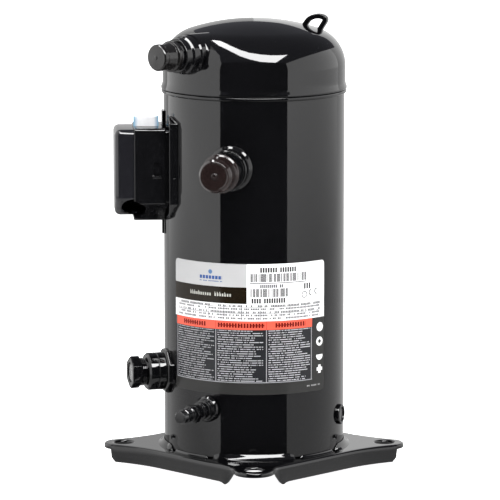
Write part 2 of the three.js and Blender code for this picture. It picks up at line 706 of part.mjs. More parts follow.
// ---------------------------------------------------------------- motor
function statorCore() {
  const slots = 24;
  const outline = arc(0, 0, HOUSING_R, 0, 360, BIG).slice(1);
  const halfSlot = [[68, 4.1], [50, 4.3], [STATOR_BORE + 3, 1.6], [STATOR_BORE, 1.6], [STATOR_BORE, 5.6]];
  const slot = [...halfSlot.map(([r, degrees]) => [r, -degrees]).reverse(), ...halfSlot];
  const bore = [];
  for (let i = 0; i < slots; i += 1) {
    const at = (360 / slots) * i;
    bore.push(...slot.map(([r, degrees]) => circlePoint(0, 0, r, at + degrees)));
  }
  return prism(outline, STATOR_BOTTOM, STATOR_TOP, [bore.reverse()]);
}

function windingHead(bottom, top) {
  const height = top - bottom;
  return lathe([[49, bottom], [78, bottom], [80, bottom + 0.35 * height], [76, bottom + 0.8 * height],
    [70, top], [58, top], [51, bottom + 0.75 * height], [49, bottom]], MEDIUM);
}

function rotorCore() {
  const core = ring(SHAFT_R + GAP, ROTOR_R, STATOR_BOTTOM - 2, STATOR_TOP + 2, MEDIUM);
  const vents = [0, 60, 120, 180, 240, 300].map((turn) => {
    const vent = ring(0, 3.4, 100, 230, 8).translate(26, 0, 0);
    return turned(vent, turn);
  });
  return cut(core, vents);
}

function rotorRing(bottom, top) {
  return ring(31, 41.5, bottom, top, MEDIUM);
}

// Half-disc weight: heavy side at the given bearing.
function counterweight(bearing, inner, outer, bottom, top) {
  const half = [...arc(0, 0, outer, -75, 75, 14), ...arc(0, 0, inner, 75, -75, 10)];
  return turned(prism(half, bottom, top), bearing);
}

function crankshaft() {
  const journal = lathe([[0, 38], [11, 38], [11, 64], [14, 68], [SHAFT_R, 74], [SHAFT_R, 262.5],
    [0, 262.5]], MEDIUM);
  const pin = ring(0, 11, 262, 288, MEDIUM).translate(ORBIT, 0, 0);
  const oilway = ring(0, 3.2, 30, 300, 10).translate(2, 0, 0);
  return cut(join([journal, pin]), [oilway]);
}

function driveBush() {
  return ring(11 + GAP, 15, 263.4, 288, MEDIUM).translate(ORBIT, 0, 0);
}

// Pressed cone on the lower end of the shaft that lifts oil into the oilway.
function oilPickup() {
  return lathe([[3, 22], [4.6, 22], [9, 30], [9, 38 - GAP], [7.4, 38 - GAP], [7.4, 31], [3, 22]], SMALL);
}

// ---------------------------------------------------------------- assembly
add('shell_tube', shellTube(), blackPaint);
add('top_cap', topCap(), blackPaint);
add('bottom_cap', bottomCap(), blackPaint);
add('base_plate', basePlate(), blackPaint);
add('lift_eye', liftEye(), blackPaint);
add('name_label', nameLabel(), labelPaper);

add('suction_stub', suctionStub(), blackPaint);
add('suction_ring', suctionRing(), blackPaint);
add('suction_plug', suctionPlug(), blackRubber);
add('discharge_stub', dischargeStub(), blackPaint);
add('discharge_ring', dischargeRing(), blackPaint);
add('discharge_plug', dischargePlug(), blackRubber);

add('sight_glass_boss', sightGlassBoss(), blackPaint);
add('sight_glass_body', sightGlassBody(), blackPaint);
add('sight_glass_nut', sightGlassNut(), blackPaint);
add('sight_glass_lens', sightGlassLens(), clearGlass);

add('oil_valve_stub', oilValveStub(), blackPaint);
add('oil_valve_body', oilValveBody(), blackPaint);
add('oil_valve_pin', oilValvePin(), bronze);
add('oil_valve_cap', oilValveCap(), blackPaint);

add('box_bracket', boxBracket(), blackPaint);
add('terminal_box_base', terminalBoxBase(), blackPlastic);
add('terminal_box_cover', terminalBoxCover(), blackPlastic);
add('box_label', boxLabel(), labelPaper);
add('hermetic_terminal', hermeticTerminal(), machinedSteel);
add('terminal_block', terminalBlock(), ceramicWhite);
for (let i = 0; i < 3; i += 1) {
  add(`terminal_pin_${i + 1}`, terminalPin(i), copperWire);
  add(`motor_lead_${i + 1}`, motorLead(i), blackRubber);
}

add('muffler_plate', mufflerPlate(), blackPaint);
add('check_valve_disc', checkValveDisc(), machinedSteel);
add('check_valve_cage', checkValveCage(), machinedSteel);

add('fixed_scroll', fixedScroll(), castIron);
add('floating_seal', floatingSeal(), machinedSteel);
add('orbiting_scroll', orbitingScroll(), castIron);
add('orbiting_bush', orbitingBush(), bronze);
add('oldham_ring', oldhamRing(), castAluminium);
add('thrust_ring', thrustRing(), machinedSteel);

add('main_housing', mainHousing(), castIron);
add('main_bush', mainBush(), bronze);
for (let i = 0; i < 4; i += 1) add(`housing_bolt_${i + 1}`, housingBolt(i), machinedSteel);
add('lower_bracket', lowerBracket(), castIron);
add('lower_bush', lowerBush(), bronze);

add('stator_core', statorCore(), laminatedSteel);
add('winding_top', windingHead(STATOR_TOP + GAP, 233), copperWire);
add('winding_bottom', windingHead(92, STATOR_BOTTOM - GAP), copperWire);
add('rotor_core', rotorCore(), laminatedSteel);
add('rotor_ring_top', rotorRing(STATOR_TOP + 2 + GAP, STATOR_TOP + 9), castAluminium);
add('rotor_ring_bottom', rotorRing(STATOR_BOTTOM - 9, STATOR_BOTTOM - 2 - GAP), castAluminium);
add('counterweight_top', counterweight(180, SHAFT_R + 1, 44, STATOR_TOP + 9 + GAP, 232), bronze);
add('counterweight_bottom', counterweight(0, SHAFT_R + 1, 38, 94, STATOR_BOTTOM - 9 - GAP), bronze);
add('crankshaft', crankshaft(), machinedSteel);
add('drive_bush', driveBush(), machinedSteel);
add('oil_pickup', oilPickup(), machinedSteel);

export default compressor;
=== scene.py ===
"""The looks of a hermetic scroll compressor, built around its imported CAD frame.

Shapes are modelled in millimetres in the frame of the CAD part and turned into metres when
their mesh is made. Fittings are modelled about their own axis: local Z points out of the
shell, local Y points up and local X runs round the shell.
"""
import json
import math

import bmesh
import bpy
from mathutils import Matrix, Vector


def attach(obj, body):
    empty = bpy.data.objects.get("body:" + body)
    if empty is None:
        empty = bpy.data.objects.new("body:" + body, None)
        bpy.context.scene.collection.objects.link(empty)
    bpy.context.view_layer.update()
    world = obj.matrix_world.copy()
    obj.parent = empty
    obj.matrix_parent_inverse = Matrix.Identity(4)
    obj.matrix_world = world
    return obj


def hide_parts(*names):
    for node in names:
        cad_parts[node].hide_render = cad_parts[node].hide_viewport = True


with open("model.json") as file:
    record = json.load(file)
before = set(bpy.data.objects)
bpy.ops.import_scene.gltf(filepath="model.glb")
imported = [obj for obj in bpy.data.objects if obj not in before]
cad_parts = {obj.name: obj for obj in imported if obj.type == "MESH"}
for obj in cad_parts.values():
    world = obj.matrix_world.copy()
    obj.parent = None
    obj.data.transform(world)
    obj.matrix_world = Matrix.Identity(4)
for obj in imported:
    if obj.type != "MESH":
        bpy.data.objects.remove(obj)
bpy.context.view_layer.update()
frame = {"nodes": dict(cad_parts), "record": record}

MM = 0.001
SAME_POINT = 1e-7  # metres
ON_AXIS = 1e-6
ROUND = 192  # sides of the shell
FINE = 96  # sides of a fitting
ARC_STEP = 9.0  # degrees between points on a rounded corner

# ---------------------------- driving dimensions, mm
SHELL_R = 92.25  # pressure shell: tube, pressed caps and the plate between them
SHELL_BORE = 89.05
SHELL_FOOT = 3.6
SHELL_TOP = 366.8
CAP_R = 93.2
CAP_WALL = 3.4
CAP_HEIGHT = 442.0
KNUCKLE_R = 39.0
CROWN_R = 215.0
RIM_R = 94.4
RIM_BOTTOM = 367.15
RIM_TOP = 370.8
FOOT_TOP = 30.0  # top of the lower cap's wall

PLATE_T = 3.0  # foot plate
EDGE = 103.5  # from the middle to a straight side
EAR = 95.25  # from the middle planes to a mounting hole
EAR_R = 20.0
EAR_HOLE_R = 9.5
SHELL_HOLE_R = 69.85
FILLET_R = 24.0  # hollow beside the front and rear ears
WIDE_FILLET_R = 150.0  # and beside the other two
FLANGE_DROP = 14.5
EAR_LIP = 1.8  # how far the edge hangs down round an ear
TOOTH = 2.6  # how much lower the flange ends beside the front and rear ears
INSET = 7.0  # width of the edge that is modelled as a swept section

SUCTION = (-59.5, 300.0)  # fittings: bearing round the shell in degrees, height
DISCHARGE = (-90.0, 411.5)
FOOT_LOW = 3.6  # how far the foot of the discharge braze sits below the stub's axis
SIGHT = (-119.0, 83.0)
OIL_VALVE = (-75.0, 54.0)
TERMINAL = (-131.0, 288.0)
SERVICE_BOSS = (26.0, 38.5)
EYE_AT = 45.0  # bearing of the lifting eye
CAMERA_AT = -45.0  # bearing the camera looks from

BOX_BOTTOM = 242.0  # terminal box: heights, half width, distances from the axis
BOX_TOP = 333.0
BOX_HALF = 31.0
BOX_SPLIT = 124.0
BOX_FACE = 143.0
BOX_WALL = 2.6
BOX_CHAMFER = 19.5
BASE_DROP = 4.0  # how much lower the base reaches than the cover
CONDUIT_R = 12.5
STRAP_R = 94.6  # outside of the strap behind the box
BRAZE_SEAT = 0.3  # gap between the shell and a boss or ring that is brazed to it
SADDLE_SEAT = 0.4  # gap between the shell and the box's saddle

TAG_INNER = 98.0  # distances of the tag's ends from the axis
TAG_OUTER = 123.4
LABEL_FROM = -103.5  # bearings of the sticker's left and right edges
LABEL_TO = 4.5
LABEL_BOTTOM = 70.3
LABEL_TOP = 203.6
LABEL_R = 92.95
LABEL_T = 0.35  # thickness of the film
BLOCK_END = 87.4  # right edge of the title blocks, from the sticker's left edge
ICONS_FROM = 158.2  # left edge of the column of symbols
LABEL_ROWS = (0.0, 23.6, 40.4, 58.0, 66.9, 121.2)  # tops of the printed zones, from its top edge


# ---------------------------- outlines and profiles
def share(value):
    """A value held between 0 and 1."""
    return max(0.0, min(1.0, value))


def polar(radius, degrees):
    angle = math.radians(degrees)
    return radius * math.cos(angle), radius * math.sin(angle)


def arc(cx, cy, radius, start, end, steps):
    """Points of an arc, both ends included."""
    points = []
    for i in range(steps + 1):
        x, y = polar(radius, start + (end - start) * i / steps)
        points.append((cx + x, cy + y))
    return points


def fillet(corners, closed=False):
    """Corners (x, y) or (x, y, radius); a corner with a radius becomes a tangent arc."""
    points = []
    count = len(corners)
    for i, corner in enumerate(corners):
        here = Vector(corner[:2])
        radius = corner[2] if len(corner) > 2 else 0.0
        if radius == 0.0 or (not closed and i in (0, count - 1)):
            points.append(tuple(here))
            continue
        back = Vector(corners[i - 1][:2]) - here
        ahead = Vector(corners[(i + 1) % count][:2]) - here
        half = back.angle(ahead) / 2
        reach = min(radius / math.tan(half), 0.49 * back.length, 0.49 * ahead.length)
        radius = reach * math.tan(half)
        centre = here + (back.normalized() + ahead.normalized()).normalized() * radius / math.sin(half)
        first = here + back.normalized() * reach - centre
        turn = first.angle_signed(here + ahead.normalized() * reach - centre)
        steps = max(2, math.ceil(math.degrees(abs(turn)) / ARC_STEP))
        for k in range(steps + 1):
            spoke = first.copy()
            spoke.rotate(Matrix.Rotation(-turn * k / steps, 2))
            points.append(tuple(centre + spoke))
    return points


# ---------------------------- meshes
def place_fitting(where):
    """Matrix from a fitting's own axes to the frame."""
    bearing, height = where
    angle = math.radians(bearing)
    out = Vector((math.cos(angle), math.sin(angle), 0))
    along = Vector((-math.sin(angle), math.cos(angle), 0))
    matrix = Matrix((along, Vector((0, 0, 1)), out)).transposed().to_4x4()
    matrix.translation = Vector((0, 0, height))
    return matrix


def add_object(name, data):
    thing = bpy.data.objects.new(name, data)
    bpy.context.scene.collection.objects.link(thing)
    return thing


def clean(mesh, thin_faces=False):
    """Merges doubled points, turns the normals outwards and, if asked, removes faces of no width."""
    bm = bmesh.new()
    bm.from_mesh(mesh)
    bmesh.ops.remove_doubles(bm, verts=bm.verts, dist=SAME_POINT)
    if thin_faces:
        bmesh.ops.dissolve_degenerate(bm, edges=bm.edges, dist=SAME_POINT)
    bmesh.ops.recalc_face_normals(bm, faces=bm.faces)
    bm.to_mesh(mesh)
    bm.free()


def to_object(name, verts, faces, matrix=None):
    mesh = bpy.data.meshes.new(name)
    matrix = matrix or Matrix.Identity(4)
    mesh.from_pydata([matrix @ Vector(v) * MM for v in verts], [], faces)
    clean(mesh)
    return add_object(name, mesh)


def applied(thing):
    """A new mesh of a thing with its modifiers applied."""
    return bpy.data.meshes.new_from_object(thing.evaluated_get(bpy.context.evaluated_depsgraph_get()))


def lathe(name, profile, segments=FINE, matrix=None):
    """A profile of (radius, height) turned about Z. It closes on itself or meets the axis."""
    verts = []
    rows = []
    for radius, height in profile:
        if radius < ON_AXIS:
            rows.append([len(verts)] * segments)
            verts.append((0, 0, height))
            continue
        rows.append(list(range(len(verts), len(verts) + segments)))
        for k in range(segments):
            verts.append((*polar(radius, 360 * k / segments), height))
    pairs = list(zip(rows, rows[1:]))
    if max(profile[0][0], profile[-1][0]) >= ON_AXIS:
        pairs.append((rows[-1], rows[0]))
    faces = []
    for lower, upper in pairs:
        for k in range(segments):
            n = (k + 1) % segments
            corners = list(dict.fromkeys([lower[k], lower[n], upper[n], upper[k]]))
            if len(corners) > 2:
                faces.append(corners)
    return to_object(name, verts, faces, matrix)


def sleeve(rings, size, closed=False):
    """Faces of a tube made of rings of points, each ring numbered after the one before."""
    faces = []
    for k in range(rings if closed else rings - 1):
        n = (k + 1) % rings
        for i in range(size):
            j = (i + 1) % size
            faces.append([k * size + i, n * size + i, n * size + j, k * size + j])
    return faces


def slab(name, outline, low, high, bevel=0.0, holes=(), matrix=None):
    """An outline of (x, y) pulled up from low to high, with rounded edges and real holes."""
    curve = bpy.data.curves.new(name, "CURVE")
    curve.dimensions = "2D"
    curve.fill_mode = "BOTH"
    curve.extrude = (high - low) / 2 - bevel
    curve.bevel_depth = bevel
    curve.bevel_resolution = 3
    curve.offset = -bevel
    for loop in (outline, *holes):
        spline = curve.splines.new("POLY")
        spline.points.add(len(loop) - 1)
        for point, (x, y) in zip(spline.points, loop):
            point.co = (x, y, 0, 1)
        spline.use_cyclic_u = True
    holder = add_object(name, curve)
    bpy.context.view_layer.update()
    mesh = applied(holder)
    verts = [v.co + Vector((0, 0, (low + high) / 2)) for v in mesh.vertices]
    faces = [list(p.vertices) for p in mesh.polygons]
    bpy.data.objects.remove(holder)
    bpy.data.meshes.remove(mesh)
    bpy.data.curves.remove(curve)
    return to_object(name, verts, faces, matrix)


def boolean(thing, tools, operation="DIFFERENCE"):
    """Cuts the tools away from a thing, or joins them to it, and removes the tools."""
    for tool in tools:
        modifier = thing.modifiers.new("boolean", "BOOLEAN")
        modifier.operation = operation
        modifier.solver = "EXACT"
        modifier.object = tool
    bpy.context.view_layer.update()
    done = applied(thing)
    thing.modifiers.clear()
    old = thing.data
    thing.data = done
    bpy.data.meshes.remove(old)
    for tool in tools:
        bpy.data.objects.remove(tool)
    return thing


def round_edges(thing, width, segments=3):
    """A bevel on the edges that turn through more than 35 degrees, applied to the mesh."""
    modifier = thing.modifiers.new("bevel", "BEVEL")
    modifier.width = width * MM
    modifier.segments = segments
    modifier.limit_method = "ANGLE"
    modifier.angle_limit = math.radians(35)
    modifier.miter_outer = "MITER_ARC"
    return boolean(thing, [])


def turned(name, corners, place, closed=True):
    """A fitting turned from corners (radius, distance out, rounding); open ones meet the axis."""
    return lathe(name, fillet(corners, closed), FINE, place)


def rod(radius, start, end, segments=ROUND, matrix=None):
    """A solid cylinder for cutting or trimming."""
    return lathe("rod", [(0, start), (radius, start), (radius, end), (0, end)], segments, matrix)


def radial_drill(radius, where, start=60, end=130):
    """A drill through the shell's wall where a fitting stands."""
    return rod(radius, start, end, FINE, place_fitting(where))


def circle(radius, steps=72):
    return [polar(radius, 360 / steps * k) for k in range(steps)]


def prism(sides, radius, first, rounding):
    """Outline of a regular prism; first is the direction of one of its corners."""
    return fillet([(*polar(radius, first + 360 / sides * k), rounding) for k in range(sides)], True)


def thread(root, crest, first, pitch, flank, turns):
    """Ridges of a screw thread as points (radius, distance out)."""
    points = []
    for k in range(turns):
        base = first + pitch * k
        points += [(root, base), (crest, base + flank), (root, base + 2 * flank)]
    return points


def join(name, things):
    """One object out of several, each kept as its own closed body."""
    verts = []
    faces = []
    for thing in things:
        offset = len(verts)
        verts += [v.co / MM for v in thing.data.vertices]
        faces += [[offset + i for i in p.vertices] for p in thing.data.polygons]
        bpy.data.objects.remove(thing)
    return to_object(name, verts, faces)


def true_cylinder(thing, radius, low, high):
    """Exact normals on a cylindrical wall that has been cut, so that it reflects evenly."""
    mesh = thing.data
    near = 2e-5
    normals = [None] * len(mesh.loops)
    corner_normals = mesh.corner_normals
    for polygon in mesh.polygons:
        spots = [mesh.vertices[mesh.loops[i].vertex_index].co for i in polygon.loop_indices]
        on_wall = all(abs(math.hypot(p.x, p.y) - radius * MM) < near for p in spots)
        on_wall = on_wall and all(low * MM <= p.z <= high * MM for p in spots)
        for i, spot in zip(polygon.loop_indices, spots):
            radial = Vector((spot.x, spot.y, 0)).normalized()
            normals[i] = radial if on_wall else Vector(corner_normals[i].vector)
    mesh.normals_split_custom_set(normals)


def dress(thing, material, body, replaces=(), sharp=32):
    """The last step of every piece: shading, material, body, and hiding the CAD parts that it stands for.
    """
    mesh = thing.data
    mesh.materials.clear()
    for one in (material if isinstance(material, (list, tuple)) else [material]):
        mesh.materials.append(one)
    mesh.shade_smooth()
    mesh.set_sharp_from_angle(angle=math.radians(sharp))
    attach(thing, body)
    if replaces:
        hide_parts(*replaces)


def paint(thing, *nodes, sharp=32):
    """The enamel on every outside piece of steel that stays with the shell."""
    dress(thing, PAINT, "shell", nodes, sharp)


# ---------------------------- material building
def operator(name):
    """A method that joins a field to another field or a number."""
    return lambda field, other: field.math(name, other)


class Field:
    """A number that varies over a surface, with arithmetic that adds shader nodes."""

    def __init__(self, tree, socket):
        self.tree = tree
        self.socket = socket

    def math(self, operation, *others):
        node = self.tree.nodes.new("ShaderNodeMath")
        node.operation = operation
        for slot, value in zip(node.inputs, (self, *others)):
            if isinstance(value, Field):
                self.tree.links.new(value.socket, slot)
            else:
                slot.default_value = value
        return Field(self.tree, node.outputs[0])

    __add__ = operator("ADD")
    __sub__ = operator("SUBTRACT")
    __mul__ = operator("MULTIPLY")
    __truediv__ = operator("DIVIDE")
    __gt__ = operator("GREATER_THAN")
    __lt__ = operator("LESS_THAN")

    def floor(self):
        return self.math("FLOOR")

    def fraction(self):
        return self.math("FRACT")

    def between(self, low, high):
        return (self > low) * (self < high)


class Shader:
    """A Principled material under construction."""

    def __init__(self, name):
        self.material = bpy.data.materials.new(name)
        self.material.use_nodes = True
        self.tree = self.material.node_tree
        self.surface = self.tree.nodes["Principled BSDF"]

    def node(self, kind, **settings):
        node = self.tree.nodes.new(kind)
        for key, value in settings.items():
            setattr(node, key, value)
        return node

    def link(self, source, target):
        self.tree.links.new(source.socket if isinstance(source, Field) else source, target)

    def position(self):
        return self.node("ShaderNodeTexCoord").outputs["Object"]

    def stretched(self, scale):
        """Object coordinates multiplied by a scale on each axis."""
        mapping = self.node("ShaderNodeMapping")
        mapping.inputs["Scale"].default_value = scale
        self.link(self.position(), mapping.inputs["Vector"])
        return mapping.outputs["Vector"]

    def noise(self, scale, detail=3.0, vector=None):
        noise = self.node("ShaderNodeTexNoise")
        noise.inputs["Scale"].default_value = scale
        noise.inputs["Detail"].default_value = detail
        self.link(vector or self.position(), noise.inputs["Vector"])
        return Field(self.tree, noise.outputs["Fac"])

    def random(self, across, down):
        """A random number for each cell given by two whole-number fields."""
        pair = self.node("ShaderNodeCombineXYZ")
        self.link(across, pair.inputs[0])
        self.link(down, pair.inputs[1])
        noise = self.node("ShaderNodeTexWhiteNoise", noise_dimensions="2D")
        self.link(pair.outputs[0], noise.inputs["Vector"])
        return Field(self.tree, noise.outputs["Value"])

    def ramp(self, field, low, high, from_low=0.35, from_high=0.65):
        spread = self.node("ShaderNodeMapRange")
        spread.inputs["From Min"].default_value = from_low
        spread.inputs["From Max"].default_value = from_high
        spread.inputs["To Min"].default_value = low
        spread.inputs["To Max"].default_value = high
        self.link(field, spread.inputs["Value"])
        return Field(self.tree, spread.outputs["Result"])

    def mix(self, factor, first, second):
        mix = self.node("ShaderNodeMix", data_type="RGBA")
        self.link(factor, mix.inputs["Factor"])
        for slot, colour in ((mix.inputs["A"], first), (mix.inputs["B"], second)):
            if isinstance(colour, tuple):
                slot.default_value = (*colour, 1)
            else:
                self.link(colour, slot)
        return mix.outputs["Result"]

    def mottle(self, scale, detail, first, second):
        """Two colours mixed in soft patches."""
        return self.mix(self.ramp(self.noise(scale, detail), 0, 1), first, second)

    def bump(self, field, strength, distance, below=None):
        bump = self.node("ShaderNodeBump")
        bump.inputs["Strength"].default_value = strength
        bump.inputs["Distance"].default_value = distance
        self.link(field, bump.inputs["Height"])
        if below is not None:
            self.link(below, bump.inputs["Normal"])
        return bump.outputs["Normal"]

    def done(self, **values):
        for key, value in values.items():
            slot = self.surface.inputs[key.replace("_", " ")]
            if isinstance(value, (int, float)):
                slot.default_value = value
            elif isinstance(value, tuple):
                slot.default_value = (*value, 1)
            else:
                self.link(value, slot)
        return self.material


def enamel(name, dark, light, roughness, peel):
    """Gloss enamel: slight orange peel, faint dust and a softer gloss where it is dusty."""
    shader = Shader(name)
    colour = shader.mottle(9, 5, dark, light)
    gloss = shader.ramp(shader.noise(45, 6), roughness * 0.7, roughness * 1.3)
    peel_wide = shader.bump(shader.noise(60, 2), 0.05 * peel, 0.0006)
    peel_fine = shader.bump(shader.noise(520, 2), 0.02 * peel, 0.0002, peel_wide)
    return shader.done(Base_Color=colour, Roughness=gloss, Normal=peel_fine, IOR=1.5)


def moulded(name, dark, light, roughness, grain):
    """Moulded plastic or rubber with a fine spark-eroded grain and lighter scuffed patches."""
    shader = Shader(name)
    clean_colour = shader.mottle(30, 4, dark, light)
    scuffs = shader.ramp(shader.noise(14, 6), 0, 0.25, 0.6, 0.75)
    rubbed = shader.mix(scuffs, clean_colour, tuple(c * 2 + 0.002 for c in light))
    gloss = shader.ramp(shader.noise(120, 5), roughness * 0.8, roughness * 1.2)
    normal = shader.bump(shader.noise(2600, 3), grain, 0.0001)
    return shader.done(Base_Color=rubbed, Roughness=gloss, Normal=normal, IOR=1.5)


def metal(name, dark, light, roughness, grain, stretch=(1, 1, 1)):
    """Bare metal; stretch draws the tool marks out along one axis."""
    shader = Shader(name)
    lines = shader.noise(700, 4, shader.stretched(stretch))
    colour = shader.mottle(35, 5, dark, light)
    gloss = shader.ramp(lines, roughness * 0.8, roughness * 1.25)
    normal = shader.bump(lines, grain, 0.0001)
    return shader.done(Base_Color=colour, Roughness=gloss, Normal=normal, Metallic=1.0)


# ---------------------------- materials
PAINT = enamel("black_enamel", (0.0011, 0.0011, 0.0013), (0.0018, 0.0018, 0.0021), 0.045, 0.8)
PLUG = moulded("plug_polymer", (0.0034, 0.0032, 0.0032), (0.0046, 0.0042, 0.0042), 0.1, 0.05)
BROWN_PLUG = moulded("brown_plug_polymer", (0.0062, 0.0038, 0.0036), (0.0078, 0.0048, 0.0045), 0.1, 0.04)
BOX_PLASTIC = moulded("box_plastic", (0.0018, 0.0018, 0.0021), (0.0026, 0.0026, 0.003), 0.09, 0.03)
COVER_PLASTIC = moulded("cover_plastic", (0.0052, 0.0052, 0.0064), (0.0066, 0.0066, 0.008), 0.1, 0.03)
SLEEVE = moulded("lead_sleeve", (0.01, 0.01, 0.011), (0.02, 0.02, 0.022), 0.5, 0.4)
BLOCK = moulded("terminal_ceramic", (0.6, 0.57, 0.5), (0.7, 0.67, 0.6), 0.45, 0.3)
PLATE_STEEL = metal("plate_steel", (0.28, 0.28, 0.29), (0.36, 0.36, 0.37), 0.38, 0.25)
CAST_IRON = metal("cast_iron", (0.13, 0.13, 0.135), (0.22, 0.22, 0.225), 0.5, 0.7)
GROUND_STEEL = metal("ground_steel", (0.5, 0.51, 0.53), (0.6, 0.61, 0.63), 0.2, 0.15, (1, 1, 12))
BRONZE = metal("bearing_bronze", (0.5, 0.34, 0.15), (0.62, 0.44, 0.2), 0.3, 0.2, (1, 1, 10))
ALUMINIUM = metal("cast_aluminium", (0.62, 0.63, 0.64), (0.72, 0.73, 0.74), 0.36, 0.4)
LAMINATION = metal("lamination", (0.22, 0.23, 0.25), (0.32, 0.33, 0.35), 0.35, 0.5, (0.1, 0.1, 3))
COPPER = metal("varnished_copper", (0.42, 0.14, 0.05), (0.6, 0.24, 0.1), 0.28, 0.6, (0.3, 0.3, 2))


def lens_glass():
    shader = Shader("lens_glass")
    haze = shader.ramp(shader.noise(200, 3), 0.02, 0.05)
    tint = shader.mottle(50, 3, (0.12, 0.12, 0.12), (0.16, 0.16, 0.16))
    return shader.done(Base_Color=tint, Roughness=haze, Transmission_Weight=0.1, IOR=1.5)


GLASS = lens_glass()


# ---------------------------- pressure shell
def shell_tube():
    """The rolled tube with a bore for each fitting on it."""
    tube = lathe("shell_body", fillet([
        (SHELL_BORE, SHELL_FOOT), (SHELL_R, SHELL_FOOT, 1.0), (SHELL_R, SHELL_TOP),
        (SHELL_BORE, SHELL_TOP)], True), ROUND)
    bores = ((18.8, SUCTION), (12.3, SIGHT), (7.3, OIL_VALVE), (18.3, TERMINAL))
    boolean(tube, [radial_drill(radius, where) for radius, where in bores])
    paint(tube, "shell_tube")
    true_cylinder(tube, SHELL_R, SHELL_FOOT + 1, SHELL_TOP + 1)


def cap_curve(grow, knuckle_steps, crown_steps):
    """The cap's section from its wall to the crown, moved outwards by grow."""
    knuckle_x = CAP_R - KNUCKLE_R
    crown_z = CAP_HEIGHT - CROWN_R
    knuckle_z = crown_z + math.sqrt((CROWN_R - KNUCKLE_R) ** 2 - knuckle_x ** 2)
    meet = math.degrees(math.atan2(knuckle_z - crown_z, knuckle_x))
    shoulder = arc(knuckle_x, knuckle_z, KNUCKLE_R + grow, 0, meet, knuckle_steps)
    crown = arc(0, crown_z, CROWN_R + grow, meet, 90, crown_steps)[1:]
    crown[-1] = (0, crown[-1][1])
    return shoulder + crown


def top_cap():
    """The domed cap, turned out at its foot over the rim of the dividing plate."""
    bore = CAP_R - CAP_WALL
    foot = RIM_TOP + 0.35
    skirt = fillet([(bore, foot), (RIM_R + 0.3, foot, 1.2), (RIM_R + 0.3, foot + 2.2, 2.0),
                    (CAP_R, foot + 6.5, 8.0), (CAP_R, foot + 11)])
    inside = list(reversed(cap_curve(-CAP_WALL, 16, 16)))
    cap = lathe("cap_dome", skirt + cap_curve(0, 40, 48) + inside, ROUND)
    boolean(cap, [radial_drill(14.6, DISCHARGE)])
    paint(cap, "top_cap")
    true_cylinder(cap, CAP_R, foot + 8, CAP_HEIGHT)


def dividing_plate():
    """The plate between high and low side; its rim shows between shell and cap."""
    rim = fillet([(16, 358.6), (76, 358.6, 6), (86.5, RIM_BOTTOM, 6), (RIM_R, RIM_BOTTOM, 1.4),
                  (RIM_R, RIM_TOP, 1.1), (84.5, RIM_TOP, 6), (75, 362.2, 6), (16, 362.2)], True)
    dress(lathe("dividing_plate", rim, ROUND), PAINT, "shell", ["muffler_plate"])


def bottom_cap():
    """The dished end pressed into the foot of the shell."""
    spigot = 69.5
    wall = SHELL_BORE - 0.3
    section = fillet([
        (0, 0), (spigot, 0, 1), (spigot, PLATE_T + 0.35, 1.5), (80, PLATE_T + 0.35, 6), (wall, 6, 5),
        (wall, FOOT_TOP, 1), (wall - 3.6, FOOT_TOP, 1), (wall - 3.6, 10, 6), (78, 7.4, 6), (0, 4.4)])
    paint(lathe("lower_cap", section, ROUND), "bottom_cap")


# ---------------------------- foot plate
def ear_lean(fillet_r):
    """Degrees that the edge turns through between a straight side and an ear."""
    return math.degrees(math.acos((EDGE + fillet_r - EAR) / (EAR_R + fillet_r)))


def fillet_start(fillet_r):
    """Distance along a side at which the edge starts to turn out to an ear."""
    return EAR - (EAR_R + fillet_r) * math.sin(math.radians(ear_lean(fillet_r)))


def plate_outline():
    """Edge points of the foot plate with their outward normals, anticlockwise."""
    straight = 24
    points = []
    for turn in range(4):
        fillet_r, before = (WIDE_FILLET_R, FILLET_R) if turn % 2 == 0 else (FILLET_R, WIDE_FILLET_R)
        lean = ear_lean(fillet_r)
        across = EDGE + fillet_r
        along = fillet_start(fillet_r)
        low = -fillet_start(before)
        corner = [(Vector((EDGE, low + (along - low) * i / straight)), Vector((1, 0)))
                  for i in range(1, straight)]
        arcs = ((180, 180 - lean, 22, (across, along), fillet_r, -1),
                (-lean, 90 + lean, 40, (EAR, EAR), EAR_R, 1),
                (-90 + lean, -90, 22, (along, across), fillet_r, -1))
        for number, (start, end, steps, centre, radius, sign) in enumerate(arcs):
            for i in range(min(number, 1), steps + 1):  # an arc starts where the last one ends
                spoke = Vector(polar(1, start + (end - start) * i / steps))
                corner.append((Vector(centre) + spoke * radius, spoke * sign))
        spin = Matrix.Rotation(math.radians(90 * turn), 2)
        points += [(spin @ p, spin @ n) for p, n in corner]
    return points


def flange_depth(point):
    """How far the turned-down side hangs at an edge point; EAR_LIP round the ears."""
    along = min(abs(point.x), abs(point.y))
    if point.x * point.y < 0:  # beside the front and rear ears
        tooth_from, end = 56, 76.5
        tooth = max(0.0, min(TOOTH, (along - tooth_from) * 0.42))
        return max(EAR_LIP, min(FLANGE_DROP + tooth, (end - along) * 1.25))
    ear_from = 92.5
    return min(FLANGE_DROP, ear_from + 10 - along) if along < ear_from else EAR_LIP


def edge_section(depth):
    """(inward, height) points over the edge, from the top of the plate to its underside."""
    bend = 0.9 + 2.6 * share(depth / FLANGE_DROP * 4)
    lip = 0.5
    notch = min(0.5, depth / 2)
    over = [(bend + x, PLATE_T - bend + z) for x, z in arc(0, 0, bend, 90, 180, 6)]
    return [(INSET, PLATE_T), *over, (0, lip - depth), (0.15, 0.15 - depth), (lip, -depth),
            (PLATE_T - notch, -depth), (PLATE_T, notch - depth), (PLATE_T, -notch),
            (PLATE_T + notch, 0), (INSET, 0)]


